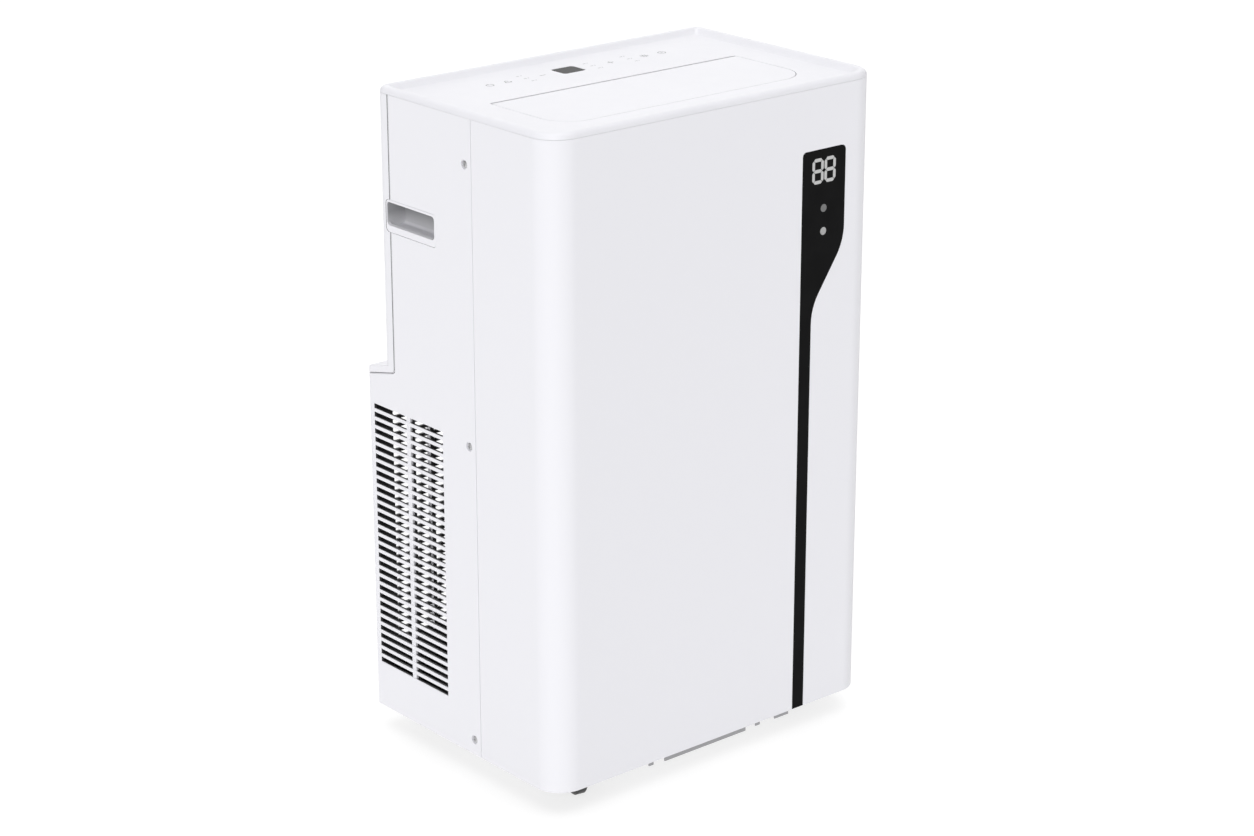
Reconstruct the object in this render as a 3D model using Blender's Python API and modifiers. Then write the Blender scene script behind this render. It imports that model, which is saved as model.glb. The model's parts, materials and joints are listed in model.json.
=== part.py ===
"""Portable air conditioner: a tall white cabinet on four casters, with a flap outlet in its top.

Metres, +Z up, the front faces -Y. The origin is on the floor, under the middle of the lower body.
The upper half holds the evaporator and its blower, the lower half the condenser, its blower and the
compressor. A sloping ledge at the back divides the deeper lower body from the upper one.
"""

import math

import bmesh
import bpy
from mathutils import Matrix, Vector

# Cabinet
WIDTH = 0.438
LOWER_DEPTH = 0.311
UPPER_DEPTH = 0.283
CLEARANCE = 0.026
SHELL_HEIGHT = 0.688
RIM_HEIGHT = 0.0065
WALL = 0.003
FRONT_RADIUS = 0.031
LOWER_RADIUS = 0.007
UPPER_RADIUS = 0.014
GAP = 0.0004
COVER_GAP = 0.0002
SEAM_GAP = 0.0006
CHORD = 0.00008

SIDE = WIDTH / 2
FRONT = -LOWER_DEPTH / 2
BACK = LOWER_DEPTH / 2
UPPER_BACK = FRONT + UPPER_DEPTH
BOTTOM = CLEARANCE
TOP = CLEARANCE + SHELL_HEIGHT
RIM_TOP = TOP + RIM_HEIGHT
DECK = TOP + 0.0005
DECK_UNDER = DECK - 0.0025
INNER = SIDE - WALL

# Seams: the front casing ends at SEAM_Y, the rear upper casing starts at STRIP_Y
SEAM_Y = FRONT + 0.125
STRIP_Y = FRONT + 0.261
LEDGE_SEAM_Z = BOTTOM + 0.391
LEDGE_SLOPE = -0.23
LEDGE_RISE = 0.0085
GROOVE = 0.0007

# Intake grilles
SLOT_PITCH = 0.0094
SLOT_HEIGHT = 0.0056
TOP_SLOT_Z = BOTTOM + 0.346
SIDE_ROWS = 32
SIDE_SLOT = (FRONT + 0.180, FRONT + 0.299)
SIDE_RIB = (FRONT + 0.237, FRONT + 0.2435)
REAR_ROWS = 30
REAR_SLOT = (0.092, 0.189)
REAR_RIB = (0.138, 0.143)
LOW_ROWS = 14
LOW_SLOT = (-0.087, 0.087)
LOW_RIB = (-0.003, 0.003)
RIB_DEPTH = 0.004

# Casing screws
SCREW_Y = FRONT + 0.1357
SCREW_HEIGHTS = (BOTTOM + 0.6405, BOTTOM + 0.345, BOTTOM + 0.017)
SCREW_RECESS = 0.0018

# Black front panel
PANEL_LEFT = 0.1117
PANEL_RIGHT = 0.173
PANEL_TOP = BOTTOM + 0.623
STRIP_RIGHT = 0.128
PANEL_BEND_TOP = BOTTOM + 0.5192
PANEL_BEND_BOTTOM = BOTTOM + 0.4538
PANEL_BEND_RADIUS = 0.0573
PANEL_RECESS = 0.0019

# Handle cups
CUP_FRONT = FRONT + 0.184
CUP_REAR = FRONT + 0.2688
CUP_LOW = BOTTOM + 0.5435
CUP_HIGH = BOTTOM + 0.5785
CUP_DEPTH = 0.026

# Outlet in the top
OUTLET_HALF = 0.1655
OUTLET_FRONT = -0.1085
OUTLET_REAR = 0.0075
OUTLET_RADIUS = 0.035
FLAP_REAR = OUTLET_REAR - 0.0028
FLAP_GAP = 0.0008
FLAP_AXIS = (-0.009, 0.701)
FRAME_HALF = 0.170
FRAME_WALL = 0.0025
FRAME_FRONT = -0.1135
FRAME_REAR = 0.015
FRAME_LOW = 0.640
VANE_AXIS_Z = 0.676
VANE_COUNT = 5
VANE_SPACING = 0.060
VANE_CRANK = 0.013

# Display window in the top, and the port in the back
WINDOW = ((-0.0267, 0.0033), (0.0578, 0.0828))
PORT_Z = 0.316
PORT_RADIUS = 0.0785
DUCT_RADIUS = 0.0755

# Rear filter
FILTER_HALF = 0.170
FILTER_LOW = 0.470
FILTER_HIGH = 0.672
FILTER_AXIS_Z = FILTER_LOW + 0.0022

# Blowers: the middle of each wheel as x and z
EVAPORATOR_FAN = (0.0, 0.545)
CONDENSER_FAN = (-0.030, 0.165)
WHEEL_RADIUS = 0.072
BLADES = 10
BLADE_LEAN = math.radians(28)

# Base and casters
PAN_INSET = 0.0073
PAN_FLOOR = 0.040
FRONT_RIBS = (
    (-0.067, 0.048, 0.0185),
    (-0.089, -0.083, 0.0195),
    (0.063, 0.069, 0.0195),
    (0.091, 0.111, 0.0195),
)
CASTERS = {
    "front_left": (-0.160, -0.1065),
    "front_right": (0.160, -0.1065),
    "rear_left": (-0.160, 0.1065),
    "rear_right": (0.160, 0.1065),
}
CASTER_TURNS = {
    "front_left": math.radians(-10),
    "front_right": math.radians(-150),
    "rear_left": math.radians(35),
    "rear_right": math.radians(-25),
}
CASTER_TRAIL = 0.012
CASTER_WHEEL = 0.0155
STEM_RADIUS = 0.004

# Compressor
COMPRESSOR = (0.105, 0.085)
COMPRESSOR_RADIUS = 0.050
ACCUMULATOR = (0.180, 0.085)

LOWER_DRAIN = (-0.150, 0.056)
UPPER_DRAIN = (0.185, 0.441)
CORD_INLET = (0.165, 0.062)

# Colour, roughness and metallic value of each material
PALETTE = {
    "white_plastic": ((0.83, 0.83, 0.86), 0.38, 0.0),
    "black_gloss": ((0.008, 0.008, 0.009), 0.12, 0.0),
    "black_plastic": ((0.02, 0.02, 0.02), 0.5, 0.0),
    "grey_plastic": ((0.35, 0.35, 0.36), 0.5, 0.0),
    "steel": ((0.62, 0.62, 0.63), 0.35, 1.0),
    "zinc": ((0.55, 0.57, 0.58), 0.45, 1.0),
    "fins": ((0.75, 0.77, 0.78), 0.4, 1.0),
    "copper": ((0.72, 0.35, 0.2), 0.3, 1.0),
    "black_steel": ((0.03, 0.03, 0.03), 0.4, 0.0),
    "rubber": ((0.02, 0.02, 0.02), 0.8, 0.0),
    "board": ((0.02, 0.12, 0.05), 0.5, 0.0),
    "filter": ((0.2, 0.21, 0.22), 0.7, 0.0),
}


# Scene and helpers


def clear_scene():
    for thing in list(bpy.data.objects):
        bpy.data.objects.remove(thing)


def collection(name):
    made = bpy.data.collections.new(name)
    bpy.context.scene.collection.children.link(made)
    return made


def material(name):
    found = bpy.data.materials.get(name)
    if found:
        return found
    colour, roughness, metallic = PALETTE[name]
    made = bpy.data.materials.new(name)
    made.use_nodes = True
    shader = made.node_tree.nodes["Principled BSDF"]
    shader.inputs["Base Color"].default_value = (*colour, 1.0)
    shader.inputs["Roughness"].default_value = roughness
    shader.inputs["Metallic"].default_value = metallic
    return made


def object_from(name, bm):
    """A new part object that holds this bmesh, with its faces pointing out."""
    bmesh.ops.recalc_face_normals(bm, faces=bm.faces)
    mesh = bpy.data.meshes.new(name)
    bm.to_mesh(mesh)
    bm.free()
    made = bpy.data.objects.new(name, mesh)
    PARTS.objects.link(made)
    return made


def finish(thing, finish_name):
    """Gives a part its material and smooth shading on its round faces."""
    thing.data.materials.clear()
    thing.data.materials.append(material(finish_name))
    thing.data.shade_smooth()
    thing.data.set_sharp_from_angle(angle=math.radians(35))
    return thing


def helper(thing):
    """Makes an object a cutter or a piece to join: it is kept out of the model."""
    PARTS.objects.unlink(thing)
    CUTTERS.objects.link(thing)
    thing.hide_render = True
    thing.display_type = "WIRE"
    return thing


def boolean(target, tool, operation):
    change = target.modifiers.new(operation.lower(), "BOOLEAN")
    change.operation = operation
    change.object = helper(tool)
    return target


def cut(target, tool):
    return boolean(target, tool, "DIFFERENCE")


def join(target, *tools):
    for tool in tools:
        boolean(target, tool, "UNION")
    return target


def set_origin(thing, point):
    """Moves a part's origin to a point without moving the part."""
    thing.data.transform(Matrix.Translation(-Vector(point)))
    thing.location = point
    return thing


def gather(name, things):
    """One object that holds the meshes of several that don't touch."""
    bm = bmesh.new()
    for thing in things:
        mesh = thing.data.copy()
        mesh.transform(thing.matrix_basis)
        bm.from_mesh(mesh)
        bpy.data.meshes.remove(mesh)
        bpy.data.objects.remove(thing)
    return object_from(name, bm)


def box(name, low, high):
    bm = bmesh.new()
    bmesh.ops.create_cube(bm, size=1)
    size = [b - a for a, b in zip(low, high)]
    middle = [(a + b) / 2 for a, b in zip(low, high)]
    bmesh.ops.scale(bm, vec=size, verts=bm.verts)
    bmesh.ops.translate(bm, vec=middle, verts=bm.verts)
    return object_from(name, bm)


def rod(name, radius, start, end, segments=20):
    """A solid cylinder between two points."""
    start, end = Vector(start), Vector(end)
    way = end - start
    bm = bmesh.new()
    bmesh.ops.create_cone(
        bm, cap_ends=True, segments=segments, radius1=radius, radius2=radius, depth=way.length
    )
    turn = way.to_track_quat("Z", "Y").to_matrix().to_4x4()
    bmesh.ops.transform(bm, matrix=Matrix.Translation((start + end) / 2) @ turn, verts=bm.verts)
    return object_from(name, bm)


def arc_steps(radius, turn):
    """The straight pieces that keep an arc within CHORD of its true curve."""
    if radius <= CHORD:
        return 1
    return max(2, math.ceil(turn / (2 * math.acos(1 - CHORD / radius))))


def fillet(corners, steps=None):
    """A closed outline from corners given as (u, v, radius), with each corner rounded."""
    points = []
    for i, (u, v, radius) in enumerate(corners):
        here = Vector((u, v))
        to_last = (Vector(corners[i - 1][:2]) - here).normalized()
        to_next = (Vector(corners[(i + 1) % len(corners)][:2]) - here).normalized()
        if radius == 0:
            points.append(tuple(here))
            continue
        half = to_last.angle(to_next) / 2
        first = here + to_last * (radius / math.tan(half))
        middle = here + (to_last + to_next).normalized() * (radius / math.sin(half))
        spoke = first - middle
        turn = math.pi - 2 * half
        count = steps or arc_steps(radius, turn)
        side = 1 if to_last.cross(to_next) < 0 else -1
        for k in range(count + 1):
            angle = side * turn * k / count
            points.append(
                (
                    middle.x + spoke.x * math.cos(angle) - spoke.y * math.sin(angle),
                    middle.y + spoke.x * math.sin(angle) + spoke.y * math.cos(angle),
                )
            )
    return points


def rectangle(u, v, radius=0.0):
    """A rounded rectangle between two values of u and two of v."""
    corners = ((u[0], v[0]), (u[1], v[0]), (u[1], v[1]), (u[0], v[1]))
    return fillet([(a, b, radius) for a, b in corners])


def circle(u, v, radius, segments):
    angles = [math.tau * k / segments for k in range(segments)]
    return [(u + radius * math.cos(a), v + radius * math.sin(a)) for a in angles]


TURNS = {
    "X": Matrix(((0, 0, 1, 0), (1, 0, 0, 0), (0, 1, 0, 0), (0, 0, 0, 1))),
    "Y": Matrix(((1, 0, 0, 0), (0, 0, -1, 0), (0, 1, 0, 0), (0, 0, 0, 1))),
    "Z": Matrix.Identity(4),
}


def plate(name, outlines, normal, low, high):
    """A flat plate between low and high along its normal.

    The first outline is its edge and the others are holes. Outlines are (x, y) for a normal of Z,
    (x, z) for Y and (y, z) for X.
    """
    curve = bpy.data.curves.new(name, "CURVE")
    curve.dimensions = "2D"
    curve.fill_mode = "BOTH"
    curve.extrude = (high - low) / 2
    for outline in outlines:
        spline = curve.splines.new("POLY")
        spline.points.add(len(outline) - 1)
        for point, (u, v) in zip(spline.points, outline):
            point.co = (u, v, 0, 1)
        spline.use_cyclic_u = True
    drawn = bpy.data.objects.new(name, curve)
    bpy.context.scene.collection.objects.link(drawn)
    graph = bpy.context.evaluated_depsgraph_get()
    mesh = bpy.data.meshes.new_from_object(drawn.evaluated_get(graph))
    mesh.transform(TURNS[normal])
    middle = [0.0, 0.0, 0.0]
    middle["XYZ".index(normal)] = (low + high) / 2
    mesh.transform(Matrix.Translation(middle))
    bm = bmesh.new()
    bm.from_mesh(mesh)
    bmesh.ops.remove_doubles(bm, verts=bm.verts, dist=1e-6)
    bpy.data.objects.remove(drawn)
    bpy.data.curves.remove(curve)
    bpy.data.meshes.remove(mesh)
    return object_from(name, bm)


AXES = {"X": (1, 0, 0), "-X": (-1, 0, 0), "Y": (0, 1, 0), "Z": (0, 0, 1)}


def turned(name, profile, place, axis="Z", steps=20, closed=False):
    """A turned piece: a profile of (radius, height) points, from the top down its outer side.

    The height runs along the axis. A closed profile makes a ring.
    """
    mesh = bpy.data.meshes.new(name)
    count = len(profile)
    edges = [(k, k + 1) for k in range(count - 1)]
    if closed:
        edges.append((count - 1, 0))
    mesh.from_pydata([(radius, 0, height) for radius, height in profile], edges, [])
    made = bpy.data.objects.new(name, mesh)
    PARTS.objects.link(made)
    spin = made.modifiers.new("turn", "SCREW")
    spin.steps = steps
    spin.render_steps = steps
    spin.use_merge_vertices = True
    spin.merge_threshold = 0.00001
    graph = bpy.context.evaluated_depsgraph_get()
    bm = bmesh.new()
    bm.from_mesh(bpy.data.meshes.new_from_object(made.evaluated_get(graph)))
    bmesh.ops.remove_doubles(bm, verts=bm.verts, dist=1e-6)
    turn = Vector((0, 0, 1)).rotation_difference(Vector(AXES[axis])).to_matrix().to_4x4()
    bmesh.ops.transform(bm, matrix=Matrix.Translation(place) @ turn, verts=bm.verts)
    bpy.data.objects.remove(made)
    return object_from(name, bm)


def loft(name, sections):
    """A skin over rings of points with the same count, closed at both ends."""
    bm = bmesh.new()
    rings = [[bm.verts.new(point) for point in section] for section in sections]
    count = len(rings[0])
    for lower, upper in zip(rings, rings[1:]):
        for k in range(count):
            n = (k + 1) % count
            bm.faces.new((lower[k], lower[n], upper[n], upper[k]))
    bm.faces.new(rings[0])
    bm.faces.new(rings[-1])
    return object_from(name, bm)


def pipe(name, points, radius):
    """A bent copper pipe through these points, with each inner point rounded."""
    curve = bpy.data.curves.new(name, "CURVE")
    curve.dimensions = "3D"
    curve.bevel_depth = radius
    curve.bevel_resolution = 1
    curve.use_fill_caps = True
    route = rounded_route(points, 0.012, 3)
    spline = curve.splines.new("POLY")
    spline.points.add(len(route) - 1)
    for point, place in zip(spline.points, route):
        point.co = (*place, 1)
    drawn = bpy.data.objects.new(name, curve)
    bpy.context.scene.collection.objects.link(drawn)
    graph = bpy.context.evaluated_depsgraph_get()
    bm = bmesh.new()
    bm.from_mesh(bpy.data.meshes.new_from_object(drawn.evaluated_get(graph)))
    bmesh.ops.remove_doubles(bm, verts=bm.verts, dist=1e-6)
    bpy.data.objects.remove(drawn)
    bpy.data.curves.remove(curve)
    return object_from(name, bm)


def rounded_route(points, reach, steps):
    """The route with each bend cut back by reach and replaced by a quadratic curve."""
    route = [Vector(points[0])]
    for last, here, after in zip(points, points[1:], points[2:]):
        here = Vector(here)
        start = here + (Vector(last) - here).normalized() * reach
        end = here + (Vector(after) - here).normalized() * reach
        for k in range(steps + 1):
            t = k / steps
            route.append((1 - t) ** 2 * start + 2 * t * (1 - t) * here + t**2 * end)
    route.append(Vector(points[-1]))
    return route


# Casing


def ledge_seam(y):
    """Height of the seam under the ledge, which falls towards the back."""
    return LEDGE_SEAM_Z + LEDGE_SLOPE * (y - STRIP_Y)


def upper_region(offset):
    """Side outline of everything that belongs to the rear upper casing, shrunk by offset."""
    far = BACK + 0.02
    return fillet(
        [
            (STRIP_Y + offset, TOP + 0.02, 0),
            (STRIP_Y + offset, ledge_seam(STRIP_Y) + offset, 0.005 - offset),
            (far, ledge_seam(far) + offset, 0),
            (far, TOP + 0.02, 0),
        ]
    )


def seam_groove(name):
    """A shallow channel in both sides along the seam of the rear upper casing."""
    outer = upper_region(-GROOVE)
    inner = upper_region(GROOVE + SEAM_GAP)
    band = outer[:-1] + list(reversed(inner[:-1]))
    sides = [
        plate(name, [band], "X", -SIDE - 0.002, -SIDE + GROOVE),
        plate(name, [band], "X", SIDE - GROOVE, SIDE + 0.002),
    ]
    return gather(name, sides)


def wrapped_wall(name, ends, far, radius, low, high):
    """A U-shaped wall: two sides from y = ends to a wall at y = far with rounded corners."""
    inward = math.copysign(WALL, ends - far)
    outline = fillet(
        [
            (-SIDE, ends, 0.0008),
            (-SIDE, far, radius),
            (SIDE, far, radius),
            (SIDE, ends, 0.0008),
            (INNER, ends, 0),
            (INNER, far + inward, radius - WALL),
            (-INNER, far + inward, radius - WALL),
            (-INNER, ends, 0),
        ]
    )
    return plate(name, [outline], "Z", low, high)


def panel_outline(shrink, bottom):
    """Outline of the black front panel: a wide head, an S-shaped edge and a narrow strip."""
    left, right = PANEL_LEFT + shrink, PANEL_RIGHT - shrink
    return fillet(
        [
            (left, bottom, 0),
            (STRIP_RIGHT - shrink, bottom, 0),
            (STRIP_RIGHT - shrink, PANEL_BEND_BOTTOM, PANEL_BEND_RADIUS),
            (right, PANEL_BEND_TOP, PANEL_BEND_RADIUS),
            (right, PANEL_TOP - shrink, 0.006),
            (left, PANEL_TOP - shrink, 0.005),
        ]
    )


def screw_tab(name, side, height):
    """A tab on the front casing that reaches behind the rear casing's side, for one screw."""
    outline = [
        (side * (SIDE - 0.0015), SEAM_Y - 0.020),
        (side * (SIDE - 0.0015), SEAM_Y - 0.0015),
        (side * (INNER - GAP), SEAM_Y - 0.0015),
        (side * (INNER - GAP), SEAM_Y + 0.0215),
        (side * (INNER - GAP - WALL), SEAM_Y + 0.0215),
        (side * (INNER - GAP - WALL), SEAM_Y - 0.020),
    ]
    return plate(name, [outline], "Z", height - 0.010, height + 0.010)


def front_casing():
    shell = wrapped_wall(
        "front_casing", SEAM_Y - SEAM_GAP / 2, FRONT, FRONT_RADIUS, BOTTOM, TOP - COVER_GAP
    )
    for side in (-1, 1):
        for height in SCREW_HEIGHTS:
            join(shell, screw_tab("screw_tab", side, height))
    outline = panel_outline(0, BOTTOM - 0.01)
    cut(shell, plate("panel_recess", [outline], "Y", FRONT - 0.01, FRONT + PANEL_RECESS))
    window = rectangle((0.121, 0.164), (0.553, 0.643), 0.003)
    cut(shell, plate("display_hole", [window], "Y", FRONT - 0.01, FRONT + 0.01))
    pilots = [
        rod("pilot", 0.0021, (side * 0.2, SCREW_Y, z), (side * 0.225, SCREW_Y, z), 8)
        for side in (-1, 1)
        for z in SCREW_HEIGHTS
    ]
    cut(shell, gather("pilot_holes", pilots))
    return finish(shell, "white_plastic")


def front_panel():
    outline = panel_outline(GAP, BOTTOM)
    made = plate("front_panel", [outline], "Y", FRONT + 0.0002, FRONT + PANEL_RECESS - GAP)
    return finish(made, "black_gloss")


def front_display_board():
    board = box("front_display_board", (0.1175, FRONT + 0.0034, 0.546), (0.1675, FRONT + 0.005, 0.650))
    block = rectangle((0.123, 0.162), (0.556, 0.640), 0.002)
    join(board, plate("led_block", [block], "Y", FRONT + PANEL_RECESS, FRONT + 0.0040))
    return finish(board, "board")


def slot_boxes(rows, columns, top_z, low, high, along):
    """Boxes for a field of grille slots, from low to high along Y or X."""
    boxes = []
    for row in range(rows):
        z = top_z - row * SLOT_PITCH
        for start, end in columns:
            bottom, upper = z - SLOT_HEIGHT / 2, z + SLOT_HEIGHT / 2
            if along == "X":
                boxes.append(box("slot", (low, start, bottom), (high, end, upper)))
            else:
                boxes.append(box("slot", (start, low, bottom), (end, high, upper)))
    return boxes


def rib_outline(wall, inward, low, high):
    """A rib behind the slats, seen along its width: it meets the wall only above and below the slots."""
    near, far = wall + inward * GAP, wall + inward * RIB_DEPTH
    into = wall - inward * 0.001
    return [
        (into, low - 0.004),
        (far, low - 0.004),
        (far, high + 0.004),
        (into, high + 0.004),
        (into, high + 0.001),
        (near, high + 0.001),
        (near, low - 0.001),
        (into, low - 0.001),
    ]


def grille_ribs(low_top):
    """The upright ribs that stiffen the slats of the side grilles and the rear grille."""
    high = TOP_SLOT_Z + SLOT_HEIGHT / 2
    side_low = TOP_SLOT_Z - (SIDE_ROWS - 1) * SLOT_PITCH - SLOT_HEIGHT / 2
    rear_low = TOP_SLOT_Z - (REAR_ROWS - 1) * SLOT_PITCH - SLOT_HEIGHT / 2
    low_high = low_top + SLOT_HEIGHT / 2
    ribs = []
    for side in (-1, 1):
        outline = rib_outline(side * INNER, -side, side_low, high)
        ribs.append(plate("side_rib", [outline], "Y", *SIDE_RIB))
        outline = rib_outline(BACK - WALL, -1, rear_low, high)
        ribs.append(plate("rear_rib", [outline], "X", *sorted(side * x for x in REAR_RIB)))
    outline = rib_outline(BACK - WALL, -1, rear_low, low_high)
    ribs.append(plate("low_rib", [outline], "X", *LOW_RIB))
    return ribs


def stepped_hole(name, place, axis, head, head_depth, neck):
    """A cutter for a counterbore with a through hole, entering against the axis."""
    profile = [
        (0, 0.002),
        (head, 0.002),
        (head, -head_depth),
        (neck, -head_depth),
        (neck, -0.02),
        (0, -0.02),
    ]
    return turned(name, profile, place, axis, 12)


def rear_casing():
    shell = wrapped_wall("rear_casing", SEAM_Y + SEAM_GAP / 2, BACK, LOWER_RADIUS, BOTTOM, TOP - COVER_GAP)
    cut(shell, plate("upper_cut", [upper_region(0)], "X", -0.3, 0.3))
    cut(shell, seam_groove("casing_groove"))
    cut(shell, cup_hole("cup_holes_rear"))
    cut(shell, gather("side_slots", slot_boxes(SIDE_ROWS, [SIDE_SLOT], TOP_SLOT_Z, -0.25, 0.25, "X")))
    columns = [REAR_SLOT, (-REAR_SLOT[1], -REAR_SLOT[0])]
    slots = slot_boxes(REAR_ROWS, columns, TOP_SLOT_Z, BACK - 0.01, BACK + 0.01, "Y")
    low_top = TOP_SLOT_Z - (REAR_ROWS - LOW_ROWS) * SLOT_PITCH
    slots += slot_boxes(LOW_ROWS, [LOW_SLOT], low_top, BACK - 0.01, BACK + 0.01, "Y")
    cut(shell, gather("rear_slots", slots))
    join(shell, *grille_ribs(low_top))
    holes = [rod("port_hole", PORT_RADIUS, (0, BACK - 0.01, PORT_Z), (0, BACK + 0.01, PORT_Z), 36)]
    for x, z in (LOWER_DRAIN, CORD_INLET):
        holes.append(stepped_hole("back_hole", (x, BACK, z), "Y", 0.0095, 0.0018, 0.0070))
    for side, axis in ((-1, "-X"), (1, "X")):
        for z in SCREW_HEIGHTS:
            place = (side * SIDE, SCREW_Y, z)
            holes.append(stepped_hole("screw_hole", place, axis, 0.005, SCREW_RECESS, 0.0021))
    cut(shell, gather("casing_holes", holes))
    return finish(shell, "white_plastic")


def ledge_block(name, shrink, side, front, low):
    """The ledge as a solid, as wide as twice side: a sloping top with a rounded rear edge."""
    top = LEDGE_RISE - shrink
    back = BACK - shrink
    outline = fillet(
        [
            (front, low, 0),
            (back, low, 0),
            (back, ledge_seam(back) + top, 0.005),
            (UPPER_BACK - 0.03, ledge_seam(UPPER_BACK - 0.03) + top, 0),
            (front, ledge_seam(UPPER_BACK - 0.03) + top, 0),
        ]
    )
    return plate(name, [outline], "X", -side, side)


def corner_region(name, back, radius, shrink, low, high):
    """A column with rounded rear corners, which trims a block to the casing's outline."""
    side = SIDE - shrink
    outline = fillet(
        [
            (-side, 0.05, 0),
            (side, 0.05, 0),
            (side, back, radius),
            (-side, back, radius),
        ]
    )
    return plate(name, [outline], "Z", low, high)


def filter_outline(half, low, high):
    """A rectangle with rounded upper corners. Its lower corners are square, so the cover can tilt."""
    return fillet([(-half, low, 0), (half, low, 0), (half, high, 0.006), (-half, high, 0.006)])


def rear_upper_casing():
    shell = ledge_block("rear_upper_casing", 0, SIDE + 0.01, 0.08, 0.37)
    boolean(shell, corner_region("ledge_corners", BACK, LOWER_RADIUS, 0, 0.36, 0.46), "INTERSECT")
    join(shell, corner_region("upper_body", UPPER_BACK, UPPER_RADIUS, 0, 0.38, TOP - COVER_GAP))
    region = plate("upper_region", [upper_region(SEAM_GAP)], "X", -0.3, 0.3)
    boolean(shell, region, "INTERSECT")
    cut(shell, seam_groove("upper_groove"))
    cut(shell, cup_hole("cup_holes_upper"))
    inside = corner_region(
        "upper_inside", UPPER_BACK - WALL, UPPER_RADIUS - WALL, WALL, 0.35, TOP + 0.01
    )
    cut(shell, inside)
    cut(shell, ledge_block("ledge_inside", WALL, INNER - 0.0004, 0.07, 0.36))
    opening = filter_outline(FILTER_HALF, FILTER_LOW, FILTER_HIGH)
    cut(shell, plate("filter_opening", [opening], "Y", UPPER_BACK - 0.01, UPPER_BACK + 0.01))
    x, z = UPPER_DRAIN
    cut(shell, rod("drain_hole", 0.0065, (x, UPPER_BACK - 0.01, z), (x, UPPER_BACK + 0.01, z), 16))
    return finish(shell, "white_plastic")


def cup_hole(name):
    """The hole for the handle cup's rim, in both sides at once."""
    outline = rectangle((CUP_FRONT, CUP_REAR), (CUP_LOW, CUP_HIGH), 0.005)
    return plate(name, [outline], "X", -0.25, 0.25)


def handle_cup(name, side):
    """A finger cup: its rim fills the hole in the side, and its body sits behind the wall."""

    def between(near, far):
        return sorted((side * (SIDE - near), side * (SIDE - far)))

    rim = rectangle((CUP_FRONT + GAP, CUP_REAR - GAP), (CUP_LOW + GAP, CUP_HIGH - GAP), 0.0046)
    cup = plate(name, [rim], "X", *between(0.0002, 0.010))
    body = rectangle((CUP_FRONT - 0.004, CUP_REAR + 0.0017), (CUP_LOW - 0.004, CUP_HIGH + 0.011), 0.004)
    join(cup, plate("cup_body", [body], "X", *between(WALL + GAP, CUP_DEPTH)))
    low, high = BOTTOM + 0.5508, BOTTOM + 0.5755
    front, rear = CUP_FRONT + 0.0035, CUP_REAR - 0.0015
    cut(cup, plate("cup_mouth", [rectangle((front, rear), (low, high), 0.004)], "X", *between(-0.002, 0.006)))
    hollow = [
        (side * (SIDE - 0.0042), low + 0.001, 0),
        (side * (SIDE - 0.0085), low - 0.0022, 0.003),
        (side * (SIDE - CUP_DEPTH + 0.0025), low - 0.0022, 0.004),
        (side * (SIDE - CUP_DEPTH + 0.0025), high + 0.009, 0.004),
        (side * (SIDE - 0.008), high + 0.009, 0.003),
        (side * (SIDE - 0.0042), high - 0.001, 0),
    ]
    cut(cup, plate("cup_hollow", [fillet(hollow)], "Y", front, rear))
    return finish(cup, "white_plastic")


def casing_screw(name, side, height):
    """A pan-head screw with a cross recess, seated in the side's counterbore."""
    place = (side * SIDE, SCREW_Y, height)
    profile = [
        (0, -0.0003),
        (0.0026, -0.0003),
        (0.0038, -0.0009),
        (0.0038, -SCREW_RECESS + 0.0002),
        (0.0017, -SCREW_RECESS + 0.0002),
        (0.0017, -0.0125),
        (0, -0.0135),
    ]
    made = turned(name, profile, place, "X" if side > 0 else "-X", 10)
    near, far = sorted((side * (SIDE - 0.0012), side * (SIDE + 0.001)))
    for half_y, half_z in ((0.0021, 0.0004), (0.0004, 0.0021)):
        low = (near, SCREW_Y - half_y, height - half_z)
        high = (far, SCREW_Y + half_y, height + half_z)
        cut(made, box("cross", low, high))
    return finish(made, "steel")


# Top


def rim_section(inset, z):
    """The top cover's outline at a height, moved in by inset, with the same points each time."""
    corners = [
        (-SIDE + inset, FRONT + inset, FRONT_RADIUS - inset),
        (SIDE - inset, FRONT + inset, FRONT_RADIUS - inset),
        (SIDE - inset, UPPER_BACK - inset, max(UPPER_RADIUS - inset, 0.003)),
        (-SIDE + inset, UPPER_BACK - inset, max(UPPER_RADIUS - inset, 0.003)),
    ]
    return [(x, y, z) for x, y in fillet(corners, steps=8)]


def top_cover():
    """A tray with a raised rim: its skirt drops inside the casing, its deck holds the outlet."""
    profile = [
        (0.0065, DECK_UNDER),
        (0.0065, TOP - 0.009),
        (0.0038, TOP - 0.009),
        (0.0038, TOP),
        (0.0, TOP),
    ]
    radius = 0.006
    for k in range(5):
        angle = math.pi / 2 * k / 4
        height = RIM_TOP - radius + radius * math.sin(angle)
        profile.append((radius * (1 - math.cos(angle)), height))
    for k in range(5):
        t = k / 4
        height = DECK + (RIM_TOP - DECK) * (1 + math.cos(math.pi * t)) / 2
        profile.append((0.0085 + 0.008 * t, height))
    cover = loft("top_cover", [rim_section(inset, z) for inset, z in profile])
    outlet = fillet(
        [
            (-OUTLET_HALF, OUTLET_REAR, 0.003),
            (OUTLET_HALF, OUTLET_REAR, 0.003),
            (OUTLET_HALF, OUTLET_FRONT, OUTLET_RADIUS),
            (-OUTLET_HALF, OUTLET_FRONT, OUTLET_RADIUS),
        ]
    )
    cut(cover, plate("outlet_hole", [outlet], "Z", TOP - 0.02, TOP + 0.02))
    cut(cover, plate("window_hole", [rectangle(*WINDOW, 0.004)], "Z", TOP - 0.02, TOP + 0.02))
    return finish(cover, "white_plastic")


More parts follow.
